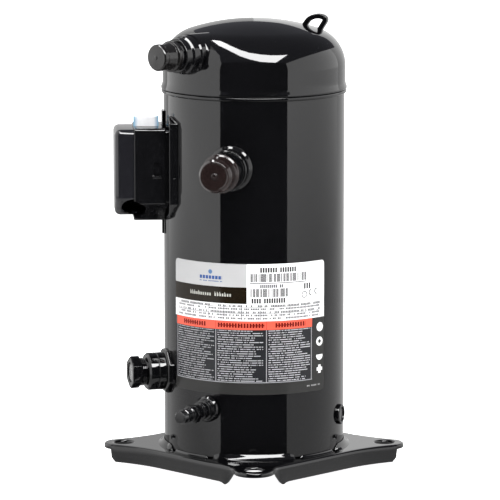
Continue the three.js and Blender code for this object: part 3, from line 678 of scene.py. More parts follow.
def base_sheet():
    """The pressed sheet: swept edge, drawn ear holes and the round hole for the shell."""
    bm = bmesh.new()

    def loop_rings(sections, positions):
        """Rows of vertices down a section at each position; returns the top and bottom loops."""
        rows = []
        for section, (centre, outward) in zip(sections, positions):
            rows.append([bm.verts.new((centre.x - outward.x * inset, centre.y - outward.y * inset, z))
                         for inset, z in section])
        for a, b in zip(rows, rows[1:] + rows[:1]):
            for k in range(len(a) - 1):
                bm.faces.new((a[k], b[k], b[k + 1], a[k + 1]))
        return [row[0] for row in rows], [row[-1] for row in rows]

    def hole(section, cx, cy, radius, steps):
        """The wall of a round hole, swept from a section of (inset, height)."""
        spokes = [Vector(point) for point in circle(1, steps)]
        rims = [Vector((cx, cy)) + Vector(point) for point in circle(radius, steps)]
        return loop_rings([section] * steps, list(zip(rims, spokes)))

    edge = plate_outline()
    loops = [loop_rings([edge_section(flange_depth(p)) for p, _ in edge], edge)]
    lip = 2.4
    drawn = [(-lip - 0.4, PLATE_T)] + [(-lip + x, PLATE_T - lip + z) for x, z in arc(0, 0, lip, 90, 0, 6)]
    drawn += [(0, 0.3), (-0.3, 0), (-lip - 0.4, 0)]
    loops += [hole(drawn, sx * EAR, sy * EAR, EAR_HOLE_R, 48)
              for sx, sy in ((1, 1), (-1, 1), (-1, -1), (1, -1))]
    cut = [(-1, PLATE_T), (-0.3, PLATE_T), (0, PLATE_T - 0.3), (0, 0.3), (-0.3, 0), (-1, 0)]
    loops.append(hole(cut, 0, 0, SHELL_HOLE_R, 96))
    for side in (0, 1):
        edges = []
        for pair in loops:
            loop = pair[side]
            edges += [bm.edges.get((a, b)) for a, b in zip(loop, loop[1:] + loop[:1])]
        bmesh.ops.triangle_fill(bm, edges=edges, use_beauty=True)
    verts = list(bm.verts)
    bm.verts.index_update()
    coordinates = [tuple(v.co) for v in verts]
    faces = [[v.index for v in f.verts] for f in bm.faces]
    bm.free()
    return to_object("base_sheet", coordinates, faces)


def shell_collar():
    """The drawn collar round the shell's foot, with a notch either side of each diagonal."""
    inner = SHELL_R + 0.3
    low = 1.0
    lip = 0.6
    toe = 1.6  # how far the collar's foot runs out past its slope
    notch_at = 28.5  # degrees from the diagonal
    notch_half = 1.9
    steps = 480
    verts = []
    for k in range(steps):
        bearing = 360 * k / steps
        off_diagonal = abs(bearing % 90 - 45)
        fade = share((abs(off_diagonal - notch_at) - notch_half) / 0.9)
        rise = (2.4 + 3.4 * share((notch_at - off_diagonal) / 6)) * fade
        top = PLATE_T + rise
        flare = rise * 0.7
        section = [(inner, low), (inner, top - 0.4), (inner + 0.5, top)]
        for step in range(1, 9):
            out = step / 8
            height = PLATE_T + 0.02 + rise * (1 - out) ** 1.15
            section.append((inner + lip + flare * out + toe * out ** 4, height))
        section.append((inner + lip + flare + toe, low))
        verts += [(*polar(r, bearing), z) for r, z in section]
    return to_object("collar", verts, sleeve(steps, len(section), True))


def base_plate():
    """The sheet and the collar as one body."""
    sheet = base_sheet()
    boolean(sheet, [shell_collar()], "UNION")
    paint(sheet, "base_plate", sharp=40)


# ---------------------------- lifting eye
def lift_eye():
    """A flat strap bent into a loop, welded to the shoulder of the cap."""
    middle_line = [(51.0, 434.0), (53.0, 437.6), (56.4, 441.4), (61.8, 443.9), (67.6, 444.4),
                   (72.0, 442.8), (72.8, 440.2), (70.2, 435.4), (67.2, 430.6), (66.2, 428.6)]
    knots = [Vector(point) for point in middle_line]

    def on_loop(t):
        """Catmull-Rom point at t from 0 to 1."""
        span = t * (len(knots) - 1)
        i = min(int(span), len(knots) - 2)
        u = span - i
        b, c = knots[i], knots[i + 1]
        a = knots[i - 1] if i > 0 else 2 * b - c
        d = knots[i + 2] if i + 2 < len(knots) else 2 * c - b
        return 0.5 * (2 * b + (c - a) * u + (2 * a - 5 * b + 4 * c - d) * u ** 2
                      + (3 * b - 3 * c + d - a) * u ** 3)

    wide, thick, rounding = 4, 2.5, 1.1
    section = fillet([(-wide, -thick, rounding), (wide, -thick, rounding),
                      (wide, thick, rounding), (-wide, thick, rounding)], True)
    rows = len(section)
    steps = 64
    verts = []
    for k in range(steps + 1):
        t = k / steps
        here = on_loop(t)
        ahead = (on_loop(min(1, t + 0.004)) - on_loop(max(0, t - 0.004))).normalized()
        across = Vector((ahead.y, -ahead.x))
        for y, off in section:
            point = here + across * off
            verts.append((point.x, y, point.y))
    faces = sleeve(steps + 1, rows)
    faces += [list(range(rows)), [steps * rows + i for i in range(rows)]]
    middle = Matrix.Translation((63, 0, 0))
    round_shell = Matrix.Rotation(math.radians(EYE_AT), 4, "Z")
    twist = Matrix.Rotation(math.radians(-16), 4, "Z")
    place = round_shell @ middle @ twist @ middle.inverted()
    strap = to_object("eye_strap", verts, faces, place)
    paint(strap, "lift_eye")


# ---------------------------- stubs and plugs
def shell_solid(clearance, low=5, high=RIM_BOTTOM):
    """The space that the shell and a gap round it take up."""
    return rod(SHELL_R + clearance, low, high)


def suction_fitting():
    place = place_fitting(SUCTION)
    end = 131
    stub = turned("suction_pipe", [(14.5, 88.95), (18.5, 88.95), (18.5, end, 0.8), (14.5, end, 0.6)], place)
    paint(stub, "suction_stub")
    ring = turned("suction_braze", [
        (18.7, 60), (23, 60), (23, 95.6, 2.2), (20.4, 97.6, 0.6), (20.2, 108, 1.6), (19.2, 109, 0.8),
        (18.7, 109)], place)
    boolean(ring, [shell_solid(BRAZE_SEAT)])
    paint(ring, "suction_ring")
    plug = turned("suction_cap", [
        (0, 112), (14.2, 112, 1), (14.2, 131.3), (19.3, 131.3, 0.8), (19.6, 135.4, 1.2), (17.4, 137, 0.6),
        (17.0, 139.5), (16.6, 148.2, 0.5), (17.2, 149.2, 0.6), (16.9, 153, 2.4), (14.2, 156.4, 2.4),
        (12.6, 155.8, 0.6), (3.2, 155.5, 0.6), (2.5, 157.2, 0.6), (1.2, 157.2, 0.3), (0.9, 156.4),
        (0, 156.4)], place, False)
    dress(plug, BROWN_PLUG, "suction_cap", ["suction_plug"])


def discharge_fitting():
    """The stub on the cap, its stepped braze and the wider foot below the stub's axis."""
    pipe_r = 14.5
    place = place_fitting(DISCHARGE)
    stub = turned("discharge_pipe", [(11.2, 76), (14.3, 76), (14.3, 115, 0.8), (11.2, 115, 0.6)], place)
    paint(stub, "discharge_stub")
    ring = turned("discharge_braze", [
        (pipe_r, 50), (20.6, 50), (20.6, 92.6, 0.9), (19.4, 94.4, 0.5), (19.2, 101.6, 0.9),
        (17.4, 103.6, 0.5), (17.2, 110.8, 0.9), (pipe_r, 111)], place)
    foot = turned("foot", [(0, 50), (23.2, 50), (23.2, 85.6, 1.0), (21.4, 87.8, 0.8), (0, 87.8)],
                  place_fitting((DISCHARGE[0], DISCHARGE[1] - FOOT_LOW)), False)
    boolean(foot, [rod(pipe_r, 40, 120, FINE, place)])
    boolean(ring, [foot], "UNION")
    inside_cap = [(0, 300), (CAP_R + BRAZE_SEAT, 300)] + cap_curve(BRAZE_SEAT, 24, 20)
    boolean(ring, [lathe("inside_cap", inside_cap, ROUND)])
    paint(ring, "discharge_ring")
    plug = turned("discharge_cap", [
        (0, 100), (10.8, 100, 1), (10.8, 115.3), (15.4, 115.3, 0.6), (15.6, 119, 1.0), (13.6, 120.4, 0.6),
        (13.3, 123), (12.7, 131, 1.0), (13.4, 132.2, 0.6), (13.3, 136, 1.4), (12.3, 137.4, 1.0),
        (2.4, 137.8, 0.4), (1.6, 138.4, 0.4), (0, 138.4)], place, False)
    dress(plug, PLUG, "discharge_cap", ["discharge_plug"])


# ---------------------------- sight glass
def sight_glass():
    """Octagonal boss, round body, threaded nut with a chamfered hexagon, and the lens."""
    place = place_fitting(SIGHT)
    boss = slab("octagon_boss", prism(8, 23.5, 22.5, 3.0), 78, 97.2, 3.2, [circle(12.4)], place)
    boolean(boss, [shell_solid(BRAZE_SEAT)])
    paint(boss, "sight_glass_boss")
    body = turned("glass_body", [
        (9.8, 89), (12, 89), (12, 97.35), (19.2, 97.35, 0.6), (19.2, 104.3, 0.4), (18.5, 104.9, 0.3),
        (19.2, 105.5, 0.4), (19.2, 113.2, 0.8), (17.2, 115.4, 0.8), (13.2, 115.4, 0.3), (13.2, 106),
        (9.8, 106)], place)
    paint(body, "sight_glass_body")
    neck = [(9.9, 107), (12.6, 107), (12.6, 115.8), (13.6, 116.2), *thread(13.6, 14.5, 116.4, 2.0, 0.7, 3),
            (13.2, 122.4), (9.9, 122.4)]
    neck = lathe("nut_thread", neck, FINE, place)
    head = slab("nut_head", prism(6, 16.8, 90, 0.8), 122.4, 131.8, 0.5, [circle(10.2)], place)
    cone = [(10, 118), (14.8, 118), (19.4, 123.6), (19.4, 128.4), (14.0, 133), (10, 133)]
    boolean(head, [lathe("cone", cone, FINE, place)], "INTERSECT")
    paint(join("hexagon_nut", [head, neck]), "sight_glass_nut")
    lens = turned("glass_lens", [
        (0, 122), (9.7, 122), (9.7, 130.3, 0.6), (6.4, 130.9, 1), (6.0, 130.3), (0, 130.6)], place, False)
    dress(lens, GLASS, "shell", ["sight_glass_lens"])


# ---------------------------- oil valve
def oil_valve():
    """Stepped stub, hexagon with a threaded spout, and the waisted cap over it."""
    place = place_fitting(OIL_VALVE)
    stub = turned("valve_base", [
        (3.4, 89), (7, 89), (7, 92.7), (13.2, 93.6), (13.4, 96, 1.0), (11.6, 98.4, 1.0), (10.6, 99.0, 0.5),
        (10.2, 102.6, 0.5), (8.4, 103.6, 0.5), (8.2, 108, 0.4), (9.2, 109, 0.4), (9.2, 111.6, 0.4),
        (7.6, 112.6, 0.4), (7.6, 118), (3.4, 118)], place)
    paint(stub, "oil_valve_stub")
    head = slab("valve_hexagon", prism(6, 10, 0, 0.5), 118.35, 127, 0.5, [circle(2.6, 36)], place)
    spout = [(2.6, 126.5), (5.1, 126.5), *thread(5.1, 5.4, 127.4, 1.5, 0.5, 6), (5.0, 137), (2.6, 137)]
    spout = lathe("valve_thread", spout, FINE, place)
    paint(join("valve_body", [head, spout]), "oil_valve_body")
    cap = turned("valve_cap", [
        (0, 140.5), (5.8, 140.5), (5.8, 127.4), (8.0, 127.4, 0.5), (8.2, 131.2, 0.6), (7.0, 132.2, 0.4),
        (6.9, 138.4, 0.3), (7.5, 139.2, 0.3), (7.5, 140.8, 0.3), (6.7, 141.6, 0.3), (6.6, 147, 1.0),
        (5.6, 148.8, 0.8), (0, 148.8)], place, False)
    dress(cap, PAINT, "valve_cap", ["oil_valve_cap"])


# ---------------------------- terminal box
IN_BOX = place_fitting((TERMINAL[0], 0))  # X round the shell, Y height, Z out from the axis
BOX_TURN = Matrix.Rotation(math.radians(TERMINAL[0]), 4, "Z")  # X out from the axis, Z height
BOX_SIDE = BOX_TURN @ Matrix(((1, 0, 0, 0), (0, 0, 1, 0), (0, 1, 0, 0), (0, 0, 0, 1)))  # Y height


def box_outline(inset, corner, drop=0.0):
    """The box seen from its face: square at the top, chamfered at its lower corners."""
    half = BOX_HALF - inset
    low = BOX_BOTTOM + inset - drop
    high = BOX_TOP - inset
    slope = BOX_CHAMFER - inset * 0.41
    return fillet([
        (-half + slope, low, corner), (half - slope, low, corner), (half, low + slope, corner),
        (half, high, corner), (-half, high, corner), (-half, low + slope, corner)], True)


def box_slab(name, inset, low, high, bevel, corner, drop=0.0):
    """The box's outline pulled out from low to high; corner rounds the outline, bevel its rims."""
    return slab(name, box_outline(inset, corner, drop), low, high, bevel, (), IN_BOX)


def conduit_drill():
    """A drill through the middle of the chamfered corner, where box and cover meet."""
    middle = BOX_CHAMFER / 2
    spot = (Matrix.Translation((BOX_HALF - middle, BOX_BOTTOM + middle, BOX_SPLIT))
            @ Matrix.Rotation(math.radians(45), 4, "Z") @ Matrix.Rotation(math.radians(90), 4, "X"))
    return rod(CONDUIT_R, -20, 20, 64, IN_BOX @ spot)


def band(name, inner, outer, half, low, high):
    """A closed band of the given half-angle about the box's bearing."""
    steps = 40
    outline = arc(0, 0, outer, TERMINAL[0] - half, TERMINAL[0] + half, steps)
    outline += arc(0, 0, inner, TERMINAL[0] + half, TERMINAL[0] - half, steps)
    verts = [(x, y, low) for x, y in outline] + [(x, y, high) for x, y in outline]
    count = len(outline)
    faces = [[k, (k + 1) % count, count + (k + 1) % count, count + k] for k in range(count)]
    for row in (0, count):
        for k in range(steps):
            faces.append([row + k, row + k + 1, row + count - 2 - k, row + count - 1 - k])
    return to_object(name, verts, faces)


def box_saddle():
    """The flat-sided pad behind the box, hollowed to the shell, with a slot in each wing."""
    half = 46
    right = [(34, 243), (half, 258), (half, 340), (36, 346)]
    left = [(-x, z) for x, z in reversed(right)]
    outline = fillet([(x, z, 1.5) for x, z in right + left], True)
    saddle = slab("saddle", outline, 40, 88.8, 0.9, (), IN_BOX)
    cuts = [shell_solid(SADDLE_SEAT, 200, 400)]
    for side in (1, -1):
        slot = [(side * x, z, 0.4) for x, z in
                ((half - 1.4, 284), (half - 1.4, 297), (half + 2, 297), (half + 2, 284))]
        cuts.append(slab("slot", fillet(slot, True), 82.5, 84.6, 0, (), IN_BOX))
    return boolean(saddle, cuts)


def terminal_box_base():
    """Open box with its foot and saddle on the shell, and a latch and ledge in one side."""
    outer = box_slab("box_base", -0.6, 91.5, BOX_SPLIT - 0.35, 1.4, 3.0, BASE_DROP)
    foot = box_slab("foot", 1.6, 60, 93, 0.0, 3.0, BASE_DROP)
    boolean(foot, [shell_solid(SADDLE_SEAT, 200, 400)])
    boolean(outer, [foot, box_saddle()], "UNION")
    boolean(outer, [box_slab("hollow", BOX_WALL, 100, BOX_SPLIT + 5, 0.0, 1.2, BASE_DROP)])
    window = fillet([(104, 285.6, 0.8), (95.6, 285.6, 0.8), (95.6, 299, 0.8), (104, 299, 0.8)], True)
    tongue = fillet([(102.4, 287.4, 0.5), (97.2, 287.4, 0.5), (98.2, 295, 0.5), (101.4, 295, 0.5)], True)
    latch = slab("latch", window, BOX_HALF - 1.7, BOX_HALF + 2, 0, [tongue], BOX_SIDE)
    spot = Matrix.Translation((0, BOX_HALF - 1.2, 284.6))
    outwards = Matrix(((0, 0, 1, 0), (1, 0, 0, 0), (0, 1, 0, 0), (0, 0, 0, 1)))
    ledge = rod(2.6, 96, 105, 24, BOX_TURN @ spot @ outwards)
    boolean(outer, [ledge], "UNION")
    boolean(outer, [latch, band("strap_way", 80, STRAP_R + 0.35, 6, 200, 360),
                    radial_drill(24, TERMINAL, 80, 110), conduit_drill()])
    round_edges(outer, 1.1)
    dress(outer, BOX_PLASTIC, "shell", ["terminal_box_base"])


def terminal_box_cover():
    """The cover, with rounded outer edges and a lip that reaches into the base."""
    cover = box_slab("box_cover_shell", 0.9, BOX_SPLIT - 8, BOX_FACE, 5.5, 6.5)
    low_side = [(-60, 200), (60, 200), (60, 380), (-60, 380)]
    low_side = slab("low_side", low_side, 90, BOX_SPLIT, 0, (), IN_BOX)
    hollow = box_slab("hollow", BOX_WALL, BOX_SPLIT - 15, BOX_FACE - BOX_WALL, 1.5, 3.5)
    boolean(cover, [low_side, hollow])
    lip = box_slab("lip", BOX_WALL + 0.3, BOX_SPLIT - 4, BOX_SPLIT + 2, 0, 2.0)
    boolean(lip, [box_slab("hollow", BOX_WALL + 1.9, BOX_SPLIT - 15, BOX_FACE, 0, 2.0)])
    boolean(cover, [lip], "UNION")
    boolean(cover, [conduit_drill()])
    dress(cover, COVER_PLASTIC, "box_cover", ["terminal_box_cover"])


def box_strap():
    """The upright strap between the shell and the box, with a hole for the leads."""
    strap = band("box_band", SHELL_R + 0.35, STRAP_R, 5, 223, 349)
    boolean(strap, [radial_drill(19.5, TERMINAL, 80, 110)])
    round_edges(strap, 0.5, 2)
    paint(strap, "box_bracket")


# ---------------------------- service boss
def service_boss():
    """A small boss with a recessed round plug, low on the right of the shell."""
    boss = turned("service_boss", [
        (0, 80), (10.4, 80), (10.4, 95.2, 1.4), (7.6, 95.6, 0.8), (7.0, 94.0, 0.5), (0, 93.8)],
        place_fitting(SERVICE_BOSS), False)
    boolean(boss, [shell_solid(0.02)])
    paint(boss)


# ---------------------------- stickers
DARK_FILM = (0.017, 0.017, 0.0165)


class Print(Shader):
    """Printed film; u runs right and v down from the top left corner of the sticker, in mm."""

    def __init__(self, name, ground):
        super().__init__(name)
        split = self.node("ShaderNodeSeparateXYZ")
        self.link(self.position(), split.inputs[0])
        x, y, z = (Field(self.tree, socket) for socket in split.outputs)
        degrees = y.math("ARCTAN2", x) * (180 / math.pi)
        self.u = (degrees - LABEL_FROM) * (LABEL_R * math.pi / 180)
        self.v = z * (-1 / MM) + LABEL_TOP
        self.colour = self.mottle(25, 4, tuple(c * 0.95 for c in ground), ground)

    def area(self, left, top, right, bottom):
        return self.u.between(left, right) * self.v.between(top, bottom)

    def ink(self, mask, colour):
        self.colour = self.mix(mask, self.colour, colour)

    def rules(self, across=(), down=(), width=0.5):
        """A mask of thin upright lines at u and level lines at v."""
        mask = None
        for field, places in ((self.u, across), (self.v, down)):
            for place in places:
                line = field.between(place - width / 2, place + width / 2)
                mask = line if mask is None else mask.math("MAXIMUM", line)
        return mask

    def marks(self, left, top, right, bottom, pitch, fill, threshold, seed=0):
        """A level row of short blocks that stand for a line of print.

        Each cell is one pitch wide and inked over the fill share of it. It stays blank where its
        random number is below the threshold; the seed gives each row its own numbers.
        """
        cell = (self.u - left) / pitch
        keep = self.random(cell.floor() + seed, self.v * 0) > threshold
        return self.area(left, top, right, bottom) * keep * (cell.fraction() < fill)

    def lines(self, colour, *rows):
        """Inks several rows of marks."""
        for row in rows:
            self.ink(self.marks(*row), colour)

    def disc(self, u, v, radius, inner=0.0):
        """A disc, or a ring where it has an inner radius."""
        squared = (self.u - u).math("POWER", 2) + (self.v - v).math("POWER", 2)
        return squared.between(inner * inner - 0.001, radius * radius)

    def finish(self):
        """Varnish over the print, with a faint ripple."""
        varnish = self.ramp(self.noise(90, 5), 0.16, 0.25)
        ripple = self.bump(self.noise(70, 2), 0.04, 0.0004)
        return self.done(Base_Color=self.colour, Roughness=varnish, Normal=ripple,
                         Specular_IOR_Level=0.22)


def print_brand():
    """Pale title block with a plain mark: a dot, a row of blocks and a rule."""
    zone = Print("print_title", (0.285, 0.285, 0.287))
    zone.ink(zone.disc(49, 9, 2.2), (0.05, 0.1, 0.2))
    zone.lines((0.015, 0.045, 0.15), (36.5, 13, 62, 16.4, 3.6, 0.78, -1),
               (36.5, 17.9, 62, 18.9, 1.3, 0.7, 0.15))
    return zone.finish()


def print_series():
    """Dark block with two words."""
    zone = Print("print_series", (0.0068, 0.0046, 0.0022))
    for left, right in ((24, 50.6), (53.8, 72.4)):
        zone.lines((0.26, 0.26, 0.24), (left, 30.6, right, 33.4, 2.66, 0.62, -1),
                   (left, 29.2, right, 30.6, 2.66, 0.3, 0.6, 11))
    return zone.finish()


def print_data():
    """White block with bar codes, rows of blocks and three plain symbols."""
    zone = Print("print_data", (0.55, 0.55, 0.55))
    ink = (0.02, 0.02, 0.022)
    pale = (0.05, 0.05, 0.055)
    zone.lines(ink, (101, 3.6, 139, 8.6, 2.55, 0.72, 0.06), (91.3, 9.8, 151.2, 18.2, 0.62, 0.8, 0.2, 40))
    zone.ink(zone.area(90.5, 19, 151.2, 19.8), (0.03, 0.03, 0.03))
    zone.lines(pale, (99, 20.8, 125, 24.2, 2.0, 0.72, 0.12, 7))
    zone.lines(ink, (91.3, 25, 130, 33.6, 0.62, 0.8, 0.28, 90),
               (92.4, 34.8, 127, 39.8, 2.5, 0.72, 0.1, 3), (148, 21.4, 156.4, 27.2, 2.9, 0.66, -1))
    zone.ink(zone.disc(148.6, 33, 3.4, 2.5), pale)
    for u, v in ((156.8, 31.4), (164.0, 30.8)):
        zone.ink(zone.disc(u, v, 3.0, 2.0) * (zone.u < u + 0.4), ink)
    return zone.finish()


def print_table():
    """White strip with four rows of short grey entries between thin rules."""
    zone = Print("print_table", (0.54, 0.54, 0.54))
    row_height = 3.2
    entry_width = 1.7
    row = (zone.v - LABEL_ROWS[2] - 0.6) / row_height
    column = zone.u / entry_width
    entry = zone.random(column.floor(), row.floor() + 17) > 0.28
    entry = entry * row.fraction().between(0.15, 0.75) * (column.fraction() < 0.75)
    entry = entry * zone.area(6, 41.4, 169, 56.8)
    zone.ink(entry, (0.05, 0.05, 0.055))
    frames = zone.rules((16, 29, 47, 64, 82, 101, 116, 132, 150, 166), (43.6, 50.2))
    zone.ink(frames * zone.area(6, 43, 169, 56.8), (0.08, 0.08, 0.085))
    return zone.finish()


def print_header():
    """Red band with three words."""
    zone = Print("print_header", (0.45, 0.066, 0.04))
    for left, right in ((14.4, 43.7), (57.3, 105.5), (116.5, 149.9)):
        zone.lines((0.09, 0.005, 0.003), (left, 60.2, right, 64.8, 3.0, 0.68, -1),
                   (left, 61.9, right, 63.1, 1.5, 0.9, 0.3, 5))
    zone.ink(zone.rules((55.1, 107.4), (), 0.8), (0.3, 0.032, 0.02))
    zone.ink(zone.u < 2.6, (0.03, 0.03, 0.032))
    return zone.finish()


def print_panel():
    """Dark panel of three columns of pale rows, with paler borders."""
    zone = Print("print_panel", (0.0115, 0.0118, 0.0132))
    row_height = 2.32
    letter = 0.7
    row = (zone.v - LABEL_ROWS[4]) / row_height
    line = row.floor()
    for index, (left, right, tone) in enumerate(((5, 53, 0.19), (57, 104, 0.24), (109.4, 155.6, 0.27))):
        pale = (tone, tone, tone * 1.06)
        short = zone.random(line + 31 * index, zone.v * 0 + 5) * 16 - 4  # how far a row stops short
        ends = zone.u < (short * -1 + right).math("MINIMUM", right)
        word = zone.random(((zone.u - left) / letter).floor(), line + 9 * index)
        print_row = zone.u.between(left, right) * ends * (word > 0.2) * row.fraction().between(0.28, 0.66)
        zone.ink(print_row * zone.v.between(67.6, 120.4), pale)
    zone.ink(zone.rules((3.6, 55.1, 107.4, 157.4), (120.7,), 0.9), (0.17, 0.17, 0.18))
    zone.ink(zone.u < 3.1, (0.0115, 0.0115, 0.0135))
    return zone.finish()


def print_icons():
    """Dark column with a disc, a ring, a half disc and a cross."""
    zone = Print("print_icons", DARK_FILM)
    white = (0.52, 0.52, 0.52)
    zone.ink(zone.disc(169.0, 68.2, 4.6), white)
    zone.ink(zone.disc(168.6, 83.0, 4.6, 2.0), white)
    zone.ink(zone.disc(168.6, 97.6, 4.6) * (zone.v > 96.6), white)
    zone.ink(zone.area(164.6, 109.6, 172.6, 113), white)
    zone.ink(zone.area(166.9, 107, 170.3, 115.6), white)
    return zone.finish()


def print_margin():
    """Dark strip along the bottom with one short row."""
    zone = Print("print_margin", DARK_FILM)
    zone.lines((0.2, 0.2, 0.2), (152, 126.4, 169, 127.8, 1.8, 0.7, 0.2))
    return zone.finish()


def name_label():
    """The sticker wrapped round the shell; each printed zone is its own material."""
    zones = [print_brand(), print_series(), print_data(), print_table(), print_header(), print_panel(),
             print_icons(), print_margin()]
    brand, series, data, table, header, panel, icons, margin = range(len(zones))
    across = math.radians(LABEL_TO - LABEL_FROM) * LABEL_R
    down = LABEL_TOP - LABEL_BOTTOM
    corner = 4.0
    rounding = [corner * (1 - math.cos(math.radians(15 * k))) for k in range(7)]
    columns = sorted({*[across * k / 110 for k in range(111)], BLOCK_END, ICONS_FROM,
                      *rounding, *[across - step for step in rounding]})
    rows = [*LABEL_ROWS, down]
    verts = []
    for radius in (LABEL_R, LABEL_R - LABEL_T):
        for u in columns:
            near = min(u, across - u, corner)
            cut = corner - math.sqrt(corner ** 2 - (corner - near) ** 2)
            bearing = LABEL_FROM + math.degrees(u / LABEL_R)
            for v in rows:
                level = min(max(v, cut), down - cut)
                verts.append((*polar(radius, bearing), LABEL_TOP - level))
    count = len(rows)
    layer = count * len(columns)
    faces = []
    kinds = []

    def rim(a, b, kind):
        faces.append([a, b, layer + b, layer + a])
        kinds.append(kind)

    for i, (u, after) in enumerate(zip(columns, columns[1:])):
        middle = (u + after) / 2
        here = [data, data, table, icons, icons, margin]
        if middle < BLOCK_END:
            here = [brand, series, table, header, panel, margin]
        elif middle < ICONS_FROM:
            here = [data, data, table, header, panel, margin]
        for j, kind in enumerate(here):
            corners = [i * count + j, i * count + j + 1, (i + 1) * count + j + 1, (i + 1) * count + j]
            faces += [corners, [layer + c for c in reversed(corners)]]
            kinds += [kind, margin]
        rim(i * count, (i + 1) * count, data)
        rim(i * count + count - 1, (i + 1) * count + count - 1, margin)
    for i in (0, len(columns) - 1):
        for j in range(count - 1):
            rim(i * count + j, i * count + j + 1, margin if j > 2 else data)
    mesh = bpy.data.meshes.new("name_sticker")
    mesh.from_pydata([Vector(v) * MM for v in verts], [], faces)
    mesh.polygons.foreach_set("material_index", kinds)
    clean(mesh, True)
    label = add_object("name_sticker", mesh)
    kept = [p.material_index for p in mesh.polygons]
    dress(label, zones, "shell", ["name_label"], 50)
    mesh.polygons.foreach_set("material_index", kept)
    true_cylinder(label, LABEL_R, LABEL_BOTTOM - 1, LABEL_TOP + 1)


def tag_paper():
    """White card with a pale blue margin at either end."""
    shader = Shader("tag_paper")
    split = shader.node("ShaderNodeSeparateXYZ")
    shader.link(shader.position(), split.inputs[0])
    x, y, _ = (Field(shader.tree, socket) for socket in split.outputs)
    along_x, along_y = polar(1 / MM, TERMINAL[0])
    out = x * along_x + y * along_y
    middle = (TAG_INNER + TAG_OUTER) / 2
    margin = 4.5
    edge = ((out - middle).math("ABSOLUTE") - ((TAG_OUTER - TAG_INNER) / 2 - margin)) / margin
    white = shader.mottle(60, 5, (0.75, 0.76, 0.78), (0.88, 0.88, 0.9))
    colour = shader.mix(edge.math("MAXIMUM", 0).math("MINIMUM", 1), white, (0.1, 0.32, 0.5))
    gloss = shader.ramp(shader.noise(150, 4), 0.3, 0.42)
    fibres = shader.bump(shader.noise(400, 3), 0.05, 0.0002)
    return shader.done(Base_Color=colour, Roughness=gloss, Normal=fibres)


def box_label():
    """A small folded card standing on top of the box, its face towards the box's side."""
    across = 9.0
    foot = BOX_TOP + 0.75
    back = across - 1.1
    top = foot + 9.6
    section = [(across, foot), (across, top), (across - 0.5, foot + 10.4), (back, top),
               (back, foot + 0.5), (0, foot + 0.5), (0, foot)]
    verts = [(out, side, z) for out in (TAG_INNER, TAG_OUTER) for side, z in section]
    count = len(section)
    faces = [[k, (k + 1) % count, count + (k + 1) % count, count + k] for k in range(count)]
    faces += [[0, 1, 2, 3, 4], [0, 4, 5, 6], [count + k for k in (4, 3, 2, 1, 0)],
              [count + k for k in (6, 5, 4, 0)]]
    tag = to_object("box_tag", verts, faces, BOX_TURN)
    dress(tag, tag_paper(), "shell", ["box_label"])


# ---------------------------- inside pieces
def inside_finishes():
    """Every CAD node that is shown as packed gets a finish by its material slot."""
    finishes = {
        "shell_paint": PAINT, "plate_steel": PLATE_STEEL, "plug_rubber": PLUG, "box_plastic": BOX_PLASTIC,
        "terminal_ceramic": BLOCK, "copper": COPPER, "lead_sleeve": SLEEVE, "cast_iron": CAST_IRON,
        "machined_steel": GROUND_STEEL, "bearing_bronze": BRONZE, "cast_aluminium": ALUMINIUM,
        "lamination": LAMINATION, "lens_glass": GLASS}
    for part in frame["record"]["subparts"]:
        node = frame["nodes"][part["node"]]
        if not node.hide_render:
            node.data.materials.clear()
            node.data.materials.append(finishes[part["material_slot"]])
            node.data.shade_smooth()
            node.data.set_sharp_from_angle(angle=math.radians(30))


# ---------------------------- studio
WALL_R = 3.2  # metres, like the rest of the studio
WALL_FOOT = -1.2
WALL_TOP = 4.5
CEILING = 1.3


def glow(name, colour, level, rise=0.0, lean=0.0, least=0.02, most=30.0):
    """An emitting surface that brightens by rise for each metre up and lean for each forwards."""
    material = bpy.data.materials.new(name)
    material.use_nodes = True
    tree = material.node_tree
    tree.nodes.clear()
    emission = tree.nodes.new("ShaderNodeEmission")
    emission.inputs["Color"].default_value = (*colour, 1)
    place = tree.nodes.new("ShaderNodeTexCoord")
    split = tree.nodes.new("ShaderNodeSeparateXYZ")
    tree.links.new(place.outputs["Object"], split.inputs[0])
    back, up = (Field(tree, split.outputs[axis]) for axis in (1, 2))
    power = (up * rise + level + back * -lean).math("MAXIMUM", least).math("MINIMUM", most)
    tree.links.new(power.socket, emission.inputs["Strength"])
    output = tree.nodes.new("ShaderNodeOutputMaterial")
    tree.links.new(emission.outputs[0], output.inputs["Surface"])
    return material


def studio_mesh(name, verts, faces, material):
    """A piece of the studio, in metres, with its X to the camera's right and -Y towards it."""
    mesh = bpy.data.meshes.new(name)
    mesh.from_pydata(verts, [], faces)
    mesh.materials.append(material)
    mesh.shade_smooth()
    thing = add_object(name, mesh)
    thing.rotation_euler.z = math.radians(CAMERA_AT + 90)
    thing.visible_camera = False
    thing.visible_shadow = False


def wall(side, left, right, tone, *levels):
    """A curved wall between two bearings; 0 is straight towards the camera, + is right.

    The levels are those of glow.
    """
    steps = 24
    verts = []
    for z in (WALL_FOOT, WALL_TOP):
        for k in range(steps + 1):
            a = math.radians(left + (right - left) * k / steps)
            verts.append((WALL_R * math.sin(a), -WALL_R * math.cos(a), z))
    faces = [(k, k + 1, steps + 2 + k, steps + 1 + k) for k in range(steps)]
    studio_mesh("wall_" + side, verts, faces, glow("glow_" + side, tone, *levels))


def overhead(name, outline, height, tone, level):
    """A flat sheet overhead; the outline gives (right, towards the camera)."""
    verts = [(right, -fore, height) for right, fore in outline]
    studio_mesh(name, verts, [tuple(range(len(verts)))], glow("glow_" + name, tone, level))


